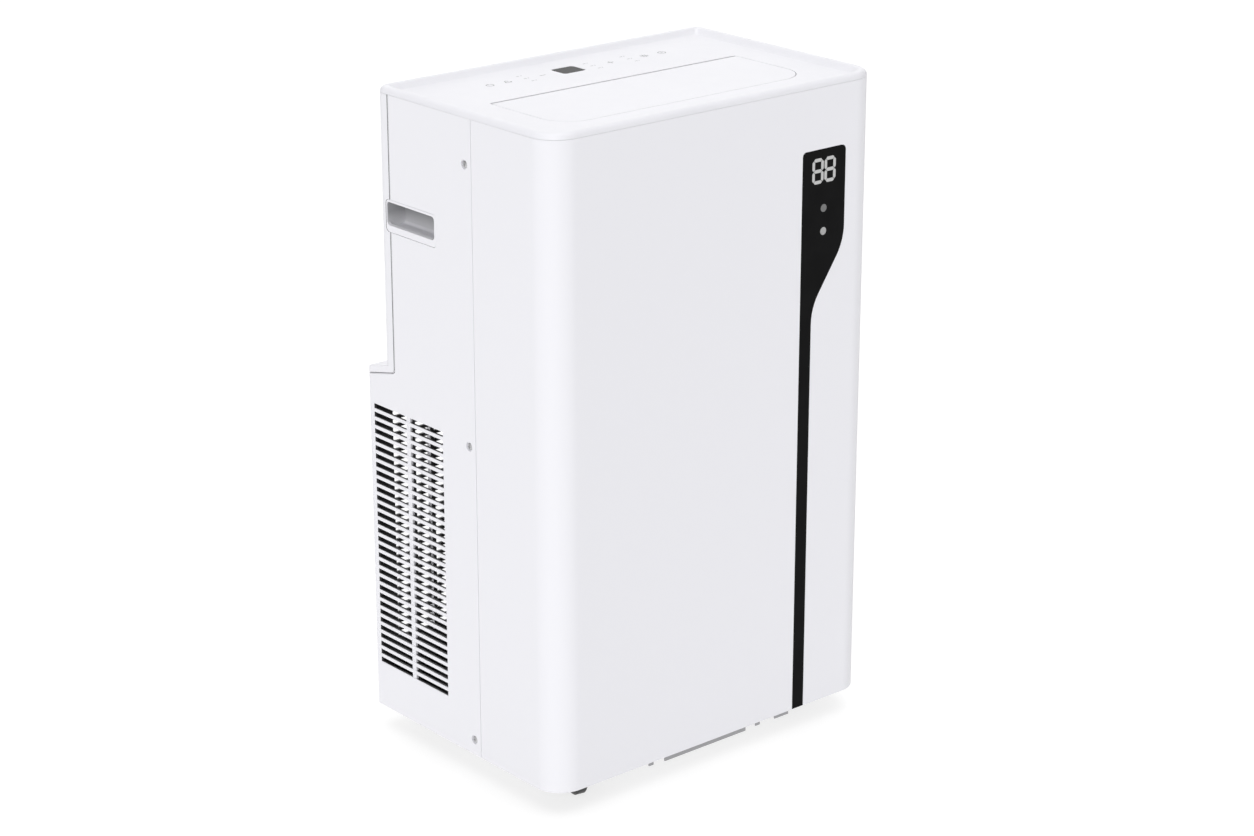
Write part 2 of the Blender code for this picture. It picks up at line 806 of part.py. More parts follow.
def display_window():
    (x0, x1), (y0, y1) = WINDOW
    outline = rectangle((x0 + GAP, x1 - GAP), (y0 + GAP, y1 - GAP), 0.0036)
    return finish(plate("display_window", [outline], "Z", DECK_UNDER, DECK - 0.0002), "black_gloss")


def key_board():
    board = box("key_board", (-0.130, 0.048, 0.6995), (0.130, 0.100, 0.7011))
    (x0, x1), (y0, y1) = WINDOW
    lamps = box("lamps", (x0 + 0.003, y0 + 0.0025, 0.7005), (x1 - 0.003, y1 - 0.0025, DECK_UNDER - GAP))
    join(board, lamps)
    return finish(board, "board")


def flap():
    """The outlet flap, hinged below its rear edge on two pins."""
    half = OUTLET_HALF - FLAP_GAP
    outline = fillet(
        [
            (-half, FLAP_REAR, 0.002),
            (half, FLAP_REAR, 0.002),
            (half, OUTLET_FRONT + FLAP_GAP, OUTLET_RADIUS - FLAP_GAP),
            (-half, OUTLET_FRONT + FLAP_GAP, OUTLET_RADIUS - FLAP_GAP),
        ]
    )
    made = plate("outlet_flap", [outline], "Z", DECK - 0.0025, DECK)
    y, z = FLAP_AXIS
    arm = fillet(
        [
            (y - 0.022, DECK - 0.001, 0),
            (y + 0.008, DECK - 0.001, 0),
            (y + 0.004, z - 0.004, 0.003),
            (y - 0.004, z - 0.004, 0.003),
        ]
    )
    for side in (-1, 1):
        join(made, plate("flap_arm", [arm], "X", *sorted((side * 0.1595, side * 0.1560))))
        join(made, rod("flap_pin", 0.002, (side * 0.158, y, z), (side * 0.1695, y, z), 12))
    rib = rectangle((y - 0.060, y - 0.058), (DECK - 0.006, DECK - 0.002))
    join(made, plate("flap_rib", [rib], "X", -0.150, 0.150))
    return finish(set_origin(made, (0, y, z)), "white_plastic")


def vane_places():
    middle = (VANE_COUNT - 1) / 2
    return [(k - middle) * VANE_SPACING for k in range(VANE_COUNT)]


def outlet_frame():
    """The duct under the flap: its side walls carry the flap's pins, its ends the vanes' pins."""
    outer = rectangle((-FRAME_HALF, FRAME_HALF), (FRAME_FRONT, FRAME_REAR))
    frame = plate("outlet_frame", [outer], "Z", FRAME_LOW, DECK_UNDER - GAP)
    inner = rectangle(
        (-FRAME_HALF + FRAME_WALL, FRAME_HALF - FRAME_WALL),
        (FRAME_FRONT + FRAME_WALL, FRAME_REAR - FRAME_WALL),
    )
    cut(frame, plate("frame_inside", [inner], "Z", FRAME_LOW + FRAME_WALL, DECK))
    mouth = rectangle((-0.111, 0.057), (-0.094, -0.018))
    cut(frame, plate("frame_mouth", [mouth], "Z", FRAME_LOW - 0.01, FRAME_LOW + 0.01))
    y, z = FLAP_AXIS
    holes = [rod("pin_hole", 0.0025, (-0.2, y, z), (0.2, y, z), 12)]
    cut(frame, gather("flap_holes", holes))
    front, rear = FRAME_FRONT - 0.01, FRAME_REAR + 0.01
    holes = [
        rod("vane_hole", 0.0021, (x, front, VANE_AXIS_Z), (x, rear, VANE_AXIS_Z), 8)
        for x in vane_places()
    ]
    cut(frame, gather("vane_holes", holes))
    return finish(frame, "grey_plastic")


def vane(name, x):
    """A swing vane on a pin at each end, with a crank pin for the link bar."""
    blade = [
        (-0.100, VANE_AXIS_Z - 0.005, 0.003),
        (-0.022, VANE_AXIS_Z - 0.005, 0.003),
        (-0.022, VANE_AXIS_Z + 0.015, 0.003),
        (-0.100, VANE_AXIS_Z + 0.015, 0.003),
    ]
    made = plate(name, [fillet(blade, steps=1)], "X", x - 0.0009, x + 0.0009)
    start, end = (x, FRAME_FRONT + 0.0005, VANE_AXIS_Z), (x, FRAME_REAR - 0.0005, VANE_AXIS_Z)
    join(made, rod("vane_pin", 0.0016, start, end, 6))
    crank_z = VANE_AXIS_Z - VANE_CRANK
    web = rectangle((-0.070, -0.064), (crank_z - 0.0016, VANE_AXIS_Z - 0.003))
    join(made, plate("crank_web", [web], "X", x - 0.0008, x + 0.0008))
    join(made, rod("crank_pin", 0.0012, (x, -0.066, crank_z), (x, -0.0575, crank_z), 6))
    return finish(set_origin(made, (x, FRAME_FRONT, VANE_AXIS_Z)), "grey_plastic")


def vane_link():
    """The bar that moves the vanes together. Its slots are tall enough for the pins' arcs."""
    crank_z = VANE_AXIS_Z - VANE_CRANK
    half = (VANE_COUNT - 1) / 2 * VANE_SPACING + 0.008
    edge = rectangle((-half, half), (crank_z - 0.003, crank_z + 0.006), 0.002)
    slots = [
        rectangle((x - 0.0017, x + 0.0017), (crank_z - 0.0016, crank_z + 0.0042))
        for x in vane_places()
    ]
    made = plate("vane_link", [edge, *slots], "Y", -0.0625, -0.0595)
    return finish(set_origin(made, (0, -0.061, crank_z)), "grey_plastic")


def flap_motor():
    y, z = FLAP_AXIS
    profile = [
        (0, 0.0),
        (0.0015, 0.0),
        (0.0015, -0.003),
        (0.0095, -0.003),
        (0.0095, -0.019),
        (0, -0.019),
    ]
    made = turned("flap_motor", profile, (0.1705, y, z), "-X", 16)
    return finish(made, "steel")


# Rear filter


def filter_cover():
    """The grille over the evaporator filter. It tilts out on its rounded lower edge."""
    half = FILTER_HALF - 0.0006
    low, high = FILTER_LOW + 0.0008, FILTER_HIGH - 0.0006
    edge = filter_outline(half, low, high)
    holes = []
    for row in range(17):
        z = high - 0.022 - row * SLOT_PITCH
        for start, end in ((-0.158, -0.003), (0.003, 0.158)):
            holes.append(rectangle((start, end), (z - SLOT_HEIGHT / 2, z + SLOT_HEIGHT / 2)))
    made = plate("filter_cover", [edge, *holes], "Y", UPPER_BACK - 0.003, UPPER_BACK)
    return finish(set_origin(made, (0, UPPER_BACK - 0.0015, FILTER_AXIS_Z)), "white_plastic")


def filter_mesh():
    """The washable filter: a thin sheet in a frame with cross bars, clipped behind the cover."""
    half, low, high = 0.162, FILTER_LOW + 0.008, FILTER_HIGH - 0.008
    made = box("filter_mesh", (-half, UPPER_BACK - 0.0052, low), (half, UPPER_BACK - 0.0042, high))
    holes = []
    for column in range(4):
        for row in range(2):
            x = -half + 0.004 + column * (2 * half - 0.004) / 4
            z = low + 0.004 + row * (high - low - 0.004) / 2
            holes.append(rectangle((x, x + (2 * half - 0.020) / 4), (z, z + (high - low - 0.012) / 2)))
    edge = rectangle((-half, half), (low, high))
    frame = plate("filter_bars", [edge, *holes], "Y", UPPER_BACK - 0.0078, UPPER_BACK - 0.0048)
    join(made, frame)
    return finish(set_origin(made, (0, UPPER_BACK - 0.0015, FILTER_AXIS_Z)), "filter")


# Back


def exhaust_collar():
    """The hose collar, with a finger guard of level bars moulded in."""
    profile = [(0.0730, 0.033), (0.0780, 0.033), (0.0780, 0.0), (0.0730, 0.0)]
    made = turned("exhaust_collar", profile, (0, BACK - 0.0332, PORT_Z), "Y", 28, closed=True)
    radius = 0.0745
    slots = []
    for k in range(-3, 4):
        z = k * 0.018
        top = abs(z) + 0.0075
        if top < radius - 0.006:
            half = math.sqrt((radius - 0.006) ** 2 - top**2)
            slots.append(rectangle((-half, half), (PORT_Z + z - 0.0075, PORT_Z + z + 0.0075)))
    edge = circle(0, PORT_Z, radius, 28)
    join(made, plate("exhaust_guard", [edge, *slots], "Y", BACK - 0.020, BACK - 0.018))
    return finish(made, "grey_plastic")


def exhaust_duct():
    profile = [(0.0735, 0.141), (DUCT_RADIUS, 0.141), (DUCT_RADIUS, 0.0), (0.0735, 0.0)]
    made = turned("exhaust_duct", profile, (0, -0.0190, PORT_Z), "Y", 24, closed=True)
    return finish(made, "grey_plastic")


def lower_drain_cap():
    """A flush cap on the base pan's drain, with a coin slot."""
    x, z = LOWER_DRAIN
    profile = [
        (0, -0.0002),
        (0.0090, -0.0002),
        (0.0090, -0.0015),
        (0.0036, -0.0015),
        (0.0036, -0.020),
        (0, -0.020),
    ]
    made = turned("lower_drain_cap", profile, (x, BACK, z), "Y", 16)
    low, high = (x - 0.006, BACK - 0.0009, z - 0.0008), (x + 0.006, BACK + 0.002, z + 0.0008)
    cut(made, box("coin_slot", low, high))
    return finish(set_origin(made, (x, BACK, z)), "rubber")


def upper_drain_plug():
    """A rubber plug above the ledge, with a grooved head to pull."""
    x, z = UPPER_DRAIN
    profile = [
        (0, 0.0065),
        (0.0080, 0.0065),
        (0.0085, 0.0055),
        (0.0072, 0.0035),
        (0.0085, 0.0015),
        (0.0085, 0.0004),
        (0.0034, 0.0004),
        (0.0034, -0.014),
        (0, -0.014),
    ]
    made = turned("upper_drain_plug", profile, (x, UPPER_BACK, z), "Y", 14)
    return finish(set_origin(made, (x, UPPER_BACK, z)), "rubber")


def cord_gland():
    x, z = CORD_INLET
    profile = [
        (0.0035, -0.0002),
        (0.0090, -0.0002),
        (0.0090, -0.0015),
        (0.0066, -0.0015),
        (0.0066, -0.012),
        (0.0035, -0.012),
    ]
    made = turned("cord_gland", profile, (x, BACK, z), "Y", 12, closed=True)
    return finish(made, "black_plastic")


# Air path inside


def scroll_outline(centre, right, top, shrink):
    """A blower housing seen along its axis: a spiral that opens into an upward channel."""
    x, z = centre
    points = []
    for k in range(13):
        angle = -math.pi * k / 12
        radius = 0.084 + 0.030 * k / 12 - shrink
        points.append((x + radius * math.cos(angle), z + radius * math.sin(angle)))
    points.append((x - 0.114 + shrink, top))
    points.append((right - shrink, top))
    points.append((right - shrink, z + 0.075))
    return points


def scroll(name, centre, right, top, inner_top, y_front, y_back):
    housing = plate(name, [scroll_outline(centre, right, top, 0)], "Y", y_front, y_back)
    inside = scroll_outline(centre, right, inner_top, 0.002)
    cut(housing, plate("scroll_inside", [inside], "Y", y_front + 0.002, y_back - 0.002))
    x, z = centre
    cut(housing, rod("inlet", 0.060, (x, y_back - 0.006, z), (x, y_back + 0.01, z), 20))
    cut(housing, rod("shaft_hole", 0.007, (x, y_front - 0.01, z), (x, y_front + 0.006, z), 8))
    return housing


def evaporator_scroll():
    top = FRAME_LOW - GAP
    made = scroll("evaporator_scroll", EVAPORATOR_FAN, 0.060, top, top + 0.01, -0.098, -0.014)
    return finish(made, "grey_plastic")


def condenser_scroll():
    made = scroll("condenser_scroll", CONDENSER_FAN, 0.083, 0.399, 0.397, -0.104, -0.0195)
    outlet = rod("outlet", 0.073, (0, -0.026, PORT_Z), (0, -0.01, PORT_Z), 24)
    cut(made, outlet)
    return finish(made, "grey_plastic")


def blower_wheel(name, centre, y_front):
    """A forward-curved blower wheel: a hub disc, blades and an end ring, on its shaft."""
    x, z = centre
    y_back = y_front + 0.055
    profile = [
        (0, 0.014),
        (0.009, 0.014),
        (0.011, 0.0025),
        (WHEEL_RADIUS, 0.0025),
        (WHEEL_RADIUS, 0.0),
        (0.004, 0.0),
        (0.004, -0.040),
        (0, -0.040),
    ]
    wheel = turned(name, profile, (x, y_front, z), "Y", 20)
    ring = [circle(x, z, WHEEL_RADIUS, 20), circle(x, z, WHEEL_RADIUS - 0.011, 20)]
    join(wheel, plate("end_ring", ring, "Y", y_back - 0.003, y_back))
    blades = []
    middle = Vector((WHEEL_RADIUS - 0.0055, 0, 0))
    lean = Matrix.Translation(middle) @ Matrix.Rotation(BLADE_LEAN, 4, "Y")
    lean @= Matrix.Translation(-middle)
    for k in range(BLADES):
        low = (WHEEL_RADIUS - 0.0100, y_front + 0.001, -0.0007)
        high = (WHEEL_RADIUS - 0.0012, y_back - 0.001, 0.0007)
        blade = box("blade", low, high)
        around = Matrix.Rotation(math.tau * (k + 0.25) / BLADES, 4, "Y")
        blade.data.transform(Matrix.Translation((x, 0, z)) @ around @ lean)
        blades.append(blade)
    join(wheel, gather("blades", blades))
    return finish(set_origin(wheel, (x, y_front, z)), "black_plastic")


def fan_motor(name, centre, y_back):
    """A capacitor-run motor: a can with a flange against the scroll and a bore for the shaft."""
    x, z = centre
    profile = [
        (0.0048, 0.0),
        (0.030, 0.0),
        (0.030, -0.0015),
        (0.040, -0.0015),
        (0.040, -0.034),
        (0.034, -0.038),
        (0, -0.038),
        (0, -0.036),
        (0.0048, -0.036),
    ]
    made = turned(name, profile, (x, y_back, z), "Y", 16, closed=True)
    return finish(made, "steel")


def coil(name, low, high):
    """A finned coil: the fin block between two taller end plates."""
    made = box(name, low, high)
    for x in (low[0], high[0]):
        start = (x - 0.0012, low[1] - 0.002, low[2] - 0.004)
        end = (x + 0.0012, high[1] + 0.002, high[2] + 0.004)
        join(made, box("end_plate", start, end))
    return finish(made, "fins")


def partition_tray():
    """The drip tray between the cold and the warm half, with a spout for the upper drain."""
    edge = fillet(
        [
            (-0.2125, -0.1505, 0.026),
            (0.2125, -0.1505, 0.026),
            (0.2125, 0.1235, 0.010),
            (-0.2125, 0.1235, 0.010),
        ],
        steps=4,
    )
    tray = plate("partition_tray", [edge], "Z", 0.430, 0.448)
    hollow = fillet(
        [
            (-0.210, -0.148, 0.0235),
            (0.210, -0.148, 0.0235),
            (0.210, 0.121, 0.0075),
            (-0.210, 0.121, 0.0075),
        ],
        steps=4,
    )
    cut(tray, plate("tray_inside", [hollow], "Z", 0.4325, 0.46))
    x, z = UPPER_DRAIN
    join(tray, rod("spout", 0.0060, (x, 0.1215, z), (x, 0.1241, z), 16))
    holes = [
        rod("spout_bore", 0.0039, (x, 0.115, z), (x, 0.130, z), 12),
        rod("pipe_hole", 0.008, (0.195, 0.040, 0.42), (0.195, 0.040, 0.44), 12),
        rod("pipe_hole", 0.0055, (0.202, 0.060, 0.42), (0.202, 0.060, 0.44), 12),
    ]
    cut(tray, gather("tray_holes", holes))
    return finish(tray, "grey_plastic")


# Compressor and pipes


def compressor():
    x, y = COMPRESSOR
    r = COMPRESSOR_RADIUS
    profile = [(0, 0.250), (0.012, 0.250)]
    for k in range(1, 4):
        angle = math.pi / 2 * k / 3
        profile.append((0.012 + (r - 0.012) * math.sin(angle), 0.225 + 0.025 * math.cos(angle)))
    profile += [(r, 0.085), (r - 0.006, 0.070), (0.02, 0.062), (0, 0.062)]
    made = turned("compressor", profile, (x, y, 0), "Z", 20)
    outline = fillet([(x + 0.066 * math.cos(a), y + 0.066 * math.sin(a), 0.012) for a in foot_angles()])
    join(made, plate("foot_plate", [outline], "Z", 0.0595, 0.0635))
    join(made, rod("terminal_cover", 0.016, (x - 0.010, y, 0.24), (x - 0.010, y, 0.262), 10))
    return finish(made, "black_steel")


def foot_angles():
    return [math.radians(a) for a in (90, 210, 330)]


def compressor_foot(name, angle):
    x = COMPRESSOR[0] + 0.050 * math.cos(angle)
    y = COMPRESSOR[1] + 0.050 * math.sin(angle)
    profile = [
        (0, 0.0591),
        (0.007, 0.0591),
        (0.010, 0.054),
        (0.008, 0.051),
        (0.010, 0.048),
        (0.010, 0.0434),
        (0, 0.0434),
    ]
    return finish(turned(name, profile, (x, y, 0), "Z", 10), "rubber")


def accumulator():
    x, y = ACCUMULATOR
    profile = [
        (0, 0.215),
        (0.008, 0.214),
        (0.0185, 0.205),
        (0.020, 0.195),
        (0.020, 0.115),
        (0.0185, 0.105),
        (0.008, 0.096),
        (0, 0.095),
    ]
    return finish(turned("accumulator", profile, (x, y, 0), "Z", 14), "black_steel")


def suction_pipe():
    x, y = ACCUMULATOR
    route = [
        (x, y, 0.2155),
        (x, y, 0.300),
        (0.195, 0.040, 0.320),
        (0.195, 0.040, 0.530),
        (0.168, 0.040, 0.530),
        (0.168, 0.0796, 0.530),
    ]
    return finish(pipe("suction_pipe", route, 0.005), "copper")


def discharge_pipe():
    x, y = COMPRESSOR
    route = [
        (x + 0.028, y, 0.2482),
        (x + 0.028, y, 0.275),
        (0.150, 0.045, 0.275),
        (0.150, 0.002, 0.262),
        (0.150, 0.002, 0.2325),
    ]
    return finish(pipe("discharge_pipe", route, 0.004), "copper")


def liquid_pipe():
    route = [
        (0.197, 0.0125, 0.080),
        (0.202, 0.060, 0.080),
        (0.202, 0.060, 0.486),
        (0.172, 0.060, 0.486),
        (0.172, 0.0796, 0.486),
    ]
    return finish(pipe("liquid_pipe", route, 0.003), "copper")


# Electrics


def control_box():
    made = box("control_box", (0.108, -0.138, 0.452), (0.200, -0.048, 0.600))
    cut(made, box("box_inside", (0.110, -0.150, 0.454), (0.198, -0.050, 0.598)))
    return finish(made, "zinc")


def main_board():
    board = box("main_board", (0.114, -0.062, 0.458), (0.194, -0.0604, 0.594))
    join(board, rod("capacitor", 0.017, (0.154, -0.110, 0.560), (0.154, -0.0615, 0.560), 18))
    join(board, box("relay", (0.120, -0.080, 0.470), (0.150, -0.0615, 0.500)))
    join(board, box("transformer", (0.158, -0.088, 0.468), (0.190, -0.0615, 0.506)))
    return finish(board, "board")


# Base and casters


def base_pan():
    """The floor of the cabinet: a rim inside the casing, front ribs, and a socket for each caster."""
    outline = fillet(
        [
            (-SIDE + PAN_INSET, FRONT + 0.0045, 0.026),
            (SIDE - PAN_INSET, FRONT + 0.0045, 0.026),
            (SIDE - PAN_INSET, BACK - 0.0045, 0.004),
            (-SIDE + PAN_INSET, BACK - 0.0045, 0.004),
        ],
        steps=5,
    )
    hollow = fillet(
        [
            (-SIDE + PAN_INSET + 0.0025, FRONT + 0.007, 0.0235),
            (SIDE - PAN_INSET - 0.0025, FRONT + 0.007, 0.0235),
            (SIDE - PAN_INSET - 0.0025, BACK - 0.007, 0.0015),
            (-SIDE + PAN_INSET + 0.0025, BACK - 0.007, 0.0015),
        ],
        steps=5,
    )
    pan = plate("base_pan", [outline, hollow], "Z", BOTTOM + 0.002, 0.068)
    shrunk = [(x * 0.997, y * 0.997) for x, y in outline]
    join(pan, plate("pan_floor", [shrunk], "Z", PAN_FLOOR, PAN_FLOOR + 0.003))
    for x, y in CASTERS.values():
        join(pan, rod("caster_socket", 0.0085, (x, y, PAN_FLOOR + 0.001), (x, y, 0.062), 10))
    for x0, x1, low in FRONT_RIBS:
        join(pan, box("front_rib", (x0, FRONT + 0.0050, low), (x1, FRONT + 0.0066, BOTTOM + 0.006)))
    holes = [
        rod("stem_hole", STEM_RADIUS + 0.0003, (x, y, 0.03), (x, y, 0.0605), 10)
        for x, y in CASTERS.values()
    ]
    for side in (-1, 1):
        z = SCREW_HEIGHTS[-1]
        start, end = (side * 0.203, SCREW_Y, z), (side * 0.215, SCREW_Y, z)
        holes.append(rod("screw_way", 0.0021, start, end, 8))
    x, z = LOWER_DRAIN
    holes.append(rod("drain_bore", 0.0040, (x, BACK - 0.02, z), (x, BACK, z), 10))
    x, z = CORD_INLET
    holes.append(rod("cord_bore", 0.0075, (x, BACK - 0.02, z), (x, BACK, z), 12))
    cut(pan, gather("pan_holes", holes))
    return finish(pan, "grey_plastic")


def caster_place(corner):
    """Turns a caster that was drawn at the origin and puts it under its corner."""
    return Matrix.Translation((*CASTERS[corner], 0)) @ Matrix.Rotation(CASTER_TURNS[corner], 4, "Z")


def caster_fork(corner):
    """The swivelling hood: a stem, a top and two cheeks that hold the wheel's axle."""
    y = -CASTER_TRAIL
    cheek = fillet(
        [
            (-0.0270, 0.0250, 0.006),
            (-0.0200, 0.0375, 0.006),
            (0.0080, 0.0375, 0.003),
            (0.0080, 0.0325, 0.003),
            (y + 0.0055, 0.0100, 0.005),
            (y - 0.0055, 0.0100, 0.005),
        ],
        steps=2,
    )
    fork = plate(f"caster_fork_{corner}", [cheek], "X", -0.0100, 0.0100)
    arch = circle(y, CASTER_WHEEL, CASTER_WHEEL + 0.0018, 16)
    well = plate("wheel_well", [arch], "X", -0.0076, 0.0076)
    axle = rod("axle_hole", 0.0023, (-0.02, y, CASTER_WHEEL), (0.02, y, CASTER_WHEEL), 8)
    stem_profile = [
        (0, 0.0585),
        (STEM_RADIUS, 0.0585),
        (STEM_RADIUS, 0.0392),
        (0.0105, 0.0392),
        (0.0105, 0.0365),
        (0, 0.0365),
    ]
    stem = turned("stem", stem_profile, (0, 0, 0), "Z", 10)
    place = caster_place(corner)
    for thing in (fork, well, axle, stem):
        thing.data.transform(place)
    join(fork, stem)
    cut(fork, well)
    cut(fork, axle)
    return finish(set_origin(fork, (*CASTERS[corner], 0.038)), "black_plastic")


def caster_wheel(corner):
    """A wheel with rounded tyre edges, moulded on its axle."""
    r = CASTER_WHEEL
    profile = [
        (0, 0.0098),
        (0.0019, 0.0098),
        (0.0019, 0.0070),
        (r - 0.0025, 0.0070),
        (r, 0.0045),
        (r, -0.0045),
        (r - 0.0025, -0.0070),
        (0.0019, -0.0070),
        (0.0019, -0.0098),
        (0, -0.0098),
    ]
    wheel = turned(f"caster_wheel_{corner}", profile, (0, -CASTER_TRAIL, r), "X", 18)
    place = caster_place(corner)
    wheel.data.transform(place)
    return finish(set_origin(wheel, place @ Vector((0, -CASTER_TRAIL, r))), "black_plastic")


# Assembly


def build_casing():
    front_casing()
    rear_casing()
    rear_upper_casing()
    front_panel()
    front_display_board()
    for name, side in (("left", -1), ("right", 1)):
        handle_cup(f"handle_cup_{name}", side)
        for k, height in enumerate(SCREW_HEIGHTS, 1):
            casing_screw(f"casing_screw_{name}_{k}", side, height)


def build_top():
    top_cover()
    display_window()
    key_board()
    flap()
    outlet_frame()
    for k, x in enumerate(vane_places(), 1):
        vane(f"swing_vane_{k}", x)
    vane_link()
    flap_motor()


def build_back():
    filter_cover()
    filter_mesh()
    exhaust_collar()
    exhaust_duct()
    lower_drain_cap()
    upper_drain_plug()
    cord_gland()


def build_inside():
    evaporator_scroll()
    blower_wheel("evaporator_blower", EVAPORATOR_FAN, -0.088)
    fan_motor("evaporator_motor", EVAPORATOR_FAN, -0.0985)
    coil("evaporator_coil", (-0.176, 0.080, 0.462), (0.176, 0.104, 0.680))
    condenser_scroll()
    blower_wheel("condenser_blower", CONDENSER_FAN, -0.094)
    fan_motor("condenser_motor", CONDENSER_FAN, -0.1045)
    coil("condenser_coil", (-0.204, -0.010, 0.056), (0.204, 0.012, 0.228))
    partition_tray()
    compressor()
    for k, angle in enumerate(foot_angles(), 1):
        compressor_foot(f"compressor_foot_{k}", angle)
    accumulator()
    suction_pipe()
    discharge_pipe()
    liquid_pipe()
    control_box()
    main_board()


def build_base():
    base_pan()
    for corner in CASTERS:
        caster_fork(corner)
        caster_wheel(corner)


clear_scene()
PARTS = collection("portable_air_conditioner")
CUTTERS = collection("cutters")
build_casing()
build_top()
build_back()
build_inside()
build_base()
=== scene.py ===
"""Looks of a portable air conditioner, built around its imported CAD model.

Everything is in the model's own frame: metres, +Z up, the front faces -Y.
"""

import json
import math

import bmesh
import bpy
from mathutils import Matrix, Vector


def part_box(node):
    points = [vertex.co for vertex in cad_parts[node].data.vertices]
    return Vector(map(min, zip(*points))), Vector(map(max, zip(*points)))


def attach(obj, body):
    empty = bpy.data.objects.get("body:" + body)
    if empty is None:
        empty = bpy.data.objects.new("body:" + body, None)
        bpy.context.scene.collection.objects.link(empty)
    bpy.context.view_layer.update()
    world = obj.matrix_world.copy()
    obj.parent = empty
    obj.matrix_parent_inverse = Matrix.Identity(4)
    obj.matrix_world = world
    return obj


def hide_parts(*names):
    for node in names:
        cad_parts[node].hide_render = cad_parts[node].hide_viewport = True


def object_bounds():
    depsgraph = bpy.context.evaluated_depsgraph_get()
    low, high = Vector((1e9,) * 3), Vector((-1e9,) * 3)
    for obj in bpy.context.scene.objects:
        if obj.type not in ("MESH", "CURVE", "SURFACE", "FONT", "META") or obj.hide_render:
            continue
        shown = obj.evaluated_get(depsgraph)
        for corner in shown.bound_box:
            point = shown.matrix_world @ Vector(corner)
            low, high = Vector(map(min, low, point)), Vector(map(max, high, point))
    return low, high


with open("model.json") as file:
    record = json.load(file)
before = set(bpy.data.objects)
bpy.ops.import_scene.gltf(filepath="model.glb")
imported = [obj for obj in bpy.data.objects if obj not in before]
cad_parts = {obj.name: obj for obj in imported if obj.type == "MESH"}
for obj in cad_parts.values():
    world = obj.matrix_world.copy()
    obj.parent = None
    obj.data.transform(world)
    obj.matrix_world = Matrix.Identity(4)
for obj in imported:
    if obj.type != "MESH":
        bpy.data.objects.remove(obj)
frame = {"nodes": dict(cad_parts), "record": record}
NODES = frame["nodes"]
CAD_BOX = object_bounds()
CABINET = "cabinet"
SIDE = CAD_BOX[1].x
BACK = CAD_BOX[1].y
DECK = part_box("outlet_flap")[1].z
PANEL_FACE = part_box("front_panel")[0].y


# Materials

SHADER_SOCKETS = {
    "metallic": "Metallic",
    "specular": "Specular IOR Level",
    "coat": "Coat Weight",
    "coat_roughness": "Coat Roughness",
    "glow": "Emission Strength",
}
WHITE = (0.808, 0.806, 0.843)
WHITE_PATCHES = (0.800, 0.798, 0.836), (0.815, 0.813, 0.850)
WHITE_ROUGHNESS = (0.36, 0.44)
WHITE_SPECULAR = 0.45
PAN_GREY = (0.35, 0.35, 0.36)
# Painted shade on the casing's inward faces and between the grille slats
WALL_PAINTED_SHADE = (0.06, 0.06, 0.062)
# Painted shade inside the pan
PAN_PAINTED_SHADE = (0.04, 0.04, 0.041)
# Painted shade in the grip cups, half and deep
CUP_HALF_SHADE = (0.66, 0.66, 0.68)
CUP_DEEP_SHADE = (0.33, 0.33, 0.345)
# How far the casing's own colour reaches below its outer face, between the slats, before the painted shade
# begins
SKIN_DEPTH = 0.0008
# The grilles lie behind this y and below this z
GRILLE_FRONT = 0.02
GRILLE_TOP = 0.40
# The pan's floor, where its painted shade begins, and the heights between which the painted shade in the grip
# cups deepens
PAN_FLOOR = 0.043
CUP_LOW = 0.575
CUP_HIGH = 0.590


class Finish:
    """A procedural material on object coordinates, which are metres in the model's frame."""

    def __init__(self, name, **settings):
        self.material = bpy.data.materials.new(name)
        self.material.use_nodes = True
        self.tree = self.material.node_tree
        self.surface = self.tree.nodes["Principled BSDF"]
        for setting, value in settings.items():
            self.surface.inputs[SHADER_SOCKETS[setting]].default_value = value
        coordinates = self.tree.nodes.new("ShaderNodeTexCoord").outputs
        self.place, self.facing = coordinates["Object"], coordinates["Normal"]

    def feed(self, socket, value):
        """Links a socket to another node's output, or sets it to a plain value."""
        if isinstance(value, bpy.types.NodeSocket):
            self.tree.links.new(value, socket)
        else:
            socket.default_value = value

    def node(self, kind, **inputs):
        made = self.tree.nodes.new(kind)
        for name, value in inputs.items():
            self.feed(made.inputs[name.replace("_", " ")], value)
        return made

    def operation(self, kind, operation, first, second):
        made = self.tree.nodes.new(kind)
        made.operation = operation
        self.feed(made.inputs[0], first)
        self.feed(made.inputs[1], second)
        return made.outputs

    def math(self, operation, first, second=0.0):
        return self.operation("ShaderNodeMath", operation, first, second)["Value"]

    def vector(self, operation, first, second):
        return self.operation("ShaderNodeVectorMath", operation, first, second)

    def position(self):
        return self.node("ShaderNodeSeparateXYZ", Vector=self.place).outputs

    def noise(self, scale, detail=2.0, stretch=None):
        where = self.place
        if stretch:
            where = self.node("ShaderNodeMapping", Vector=where, Scale=stretch).outputs["Vector"]
        made = self.node("ShaderNodeTexNoise", Vector=where, Scale=scale, Detail=detail)
        return made.outputs["Fac"]

    def cells(self, scale):
        return self.node("ShaderNodeTexVoronoi", Vector=self.place, Scale=scale).outputs["Distance"]

    def remap(self, value, low, high, start=0.3, end=0.7):
        made = self.node(
            "ShaderNodeMapRange",
            Value=value,
            From_Min=start,
            From_Max=end,
            To_Min=low,
            To_Max=high,
        )
        return made.outputs["Result"]

    def colour(self, value, first, second, start=0.35, end=0.65):
        """Colours the surface along a ramp, and returns the ramp's stops."""
        ramp = self.node("ShaderNodeValToRGB", Fac=value)
        stops = ramp.color_ramp.elements
        stops[0].position, stops[1].position = start, end
        stops[0].color, stops[1].color = (*first, 1), (*second, 1)
        self.tree.links.new(ramp.outputs["Color"], self.surface.inputs["Base Color"])
        return stops

    def rough(self, value, low, high):
        self.tree.links.new(self.remap(value, low, high), self.surface.inputs["Roughness"])

    def bumps(self, *layers):
        """Each layer is a height from 0 to 1 and its depth in metres."""
        normal = None
        for height, depth in layers:
            made = self.node("ShaderNodeBump", Height=height, Distance=depth)
            if normal:
                self.tree.links.new(normal, made.inputs["Normal"])
            normal = made.outputs["Normal"]
        self.tree.links.new(normal, self.surface.inputs["Normal"])


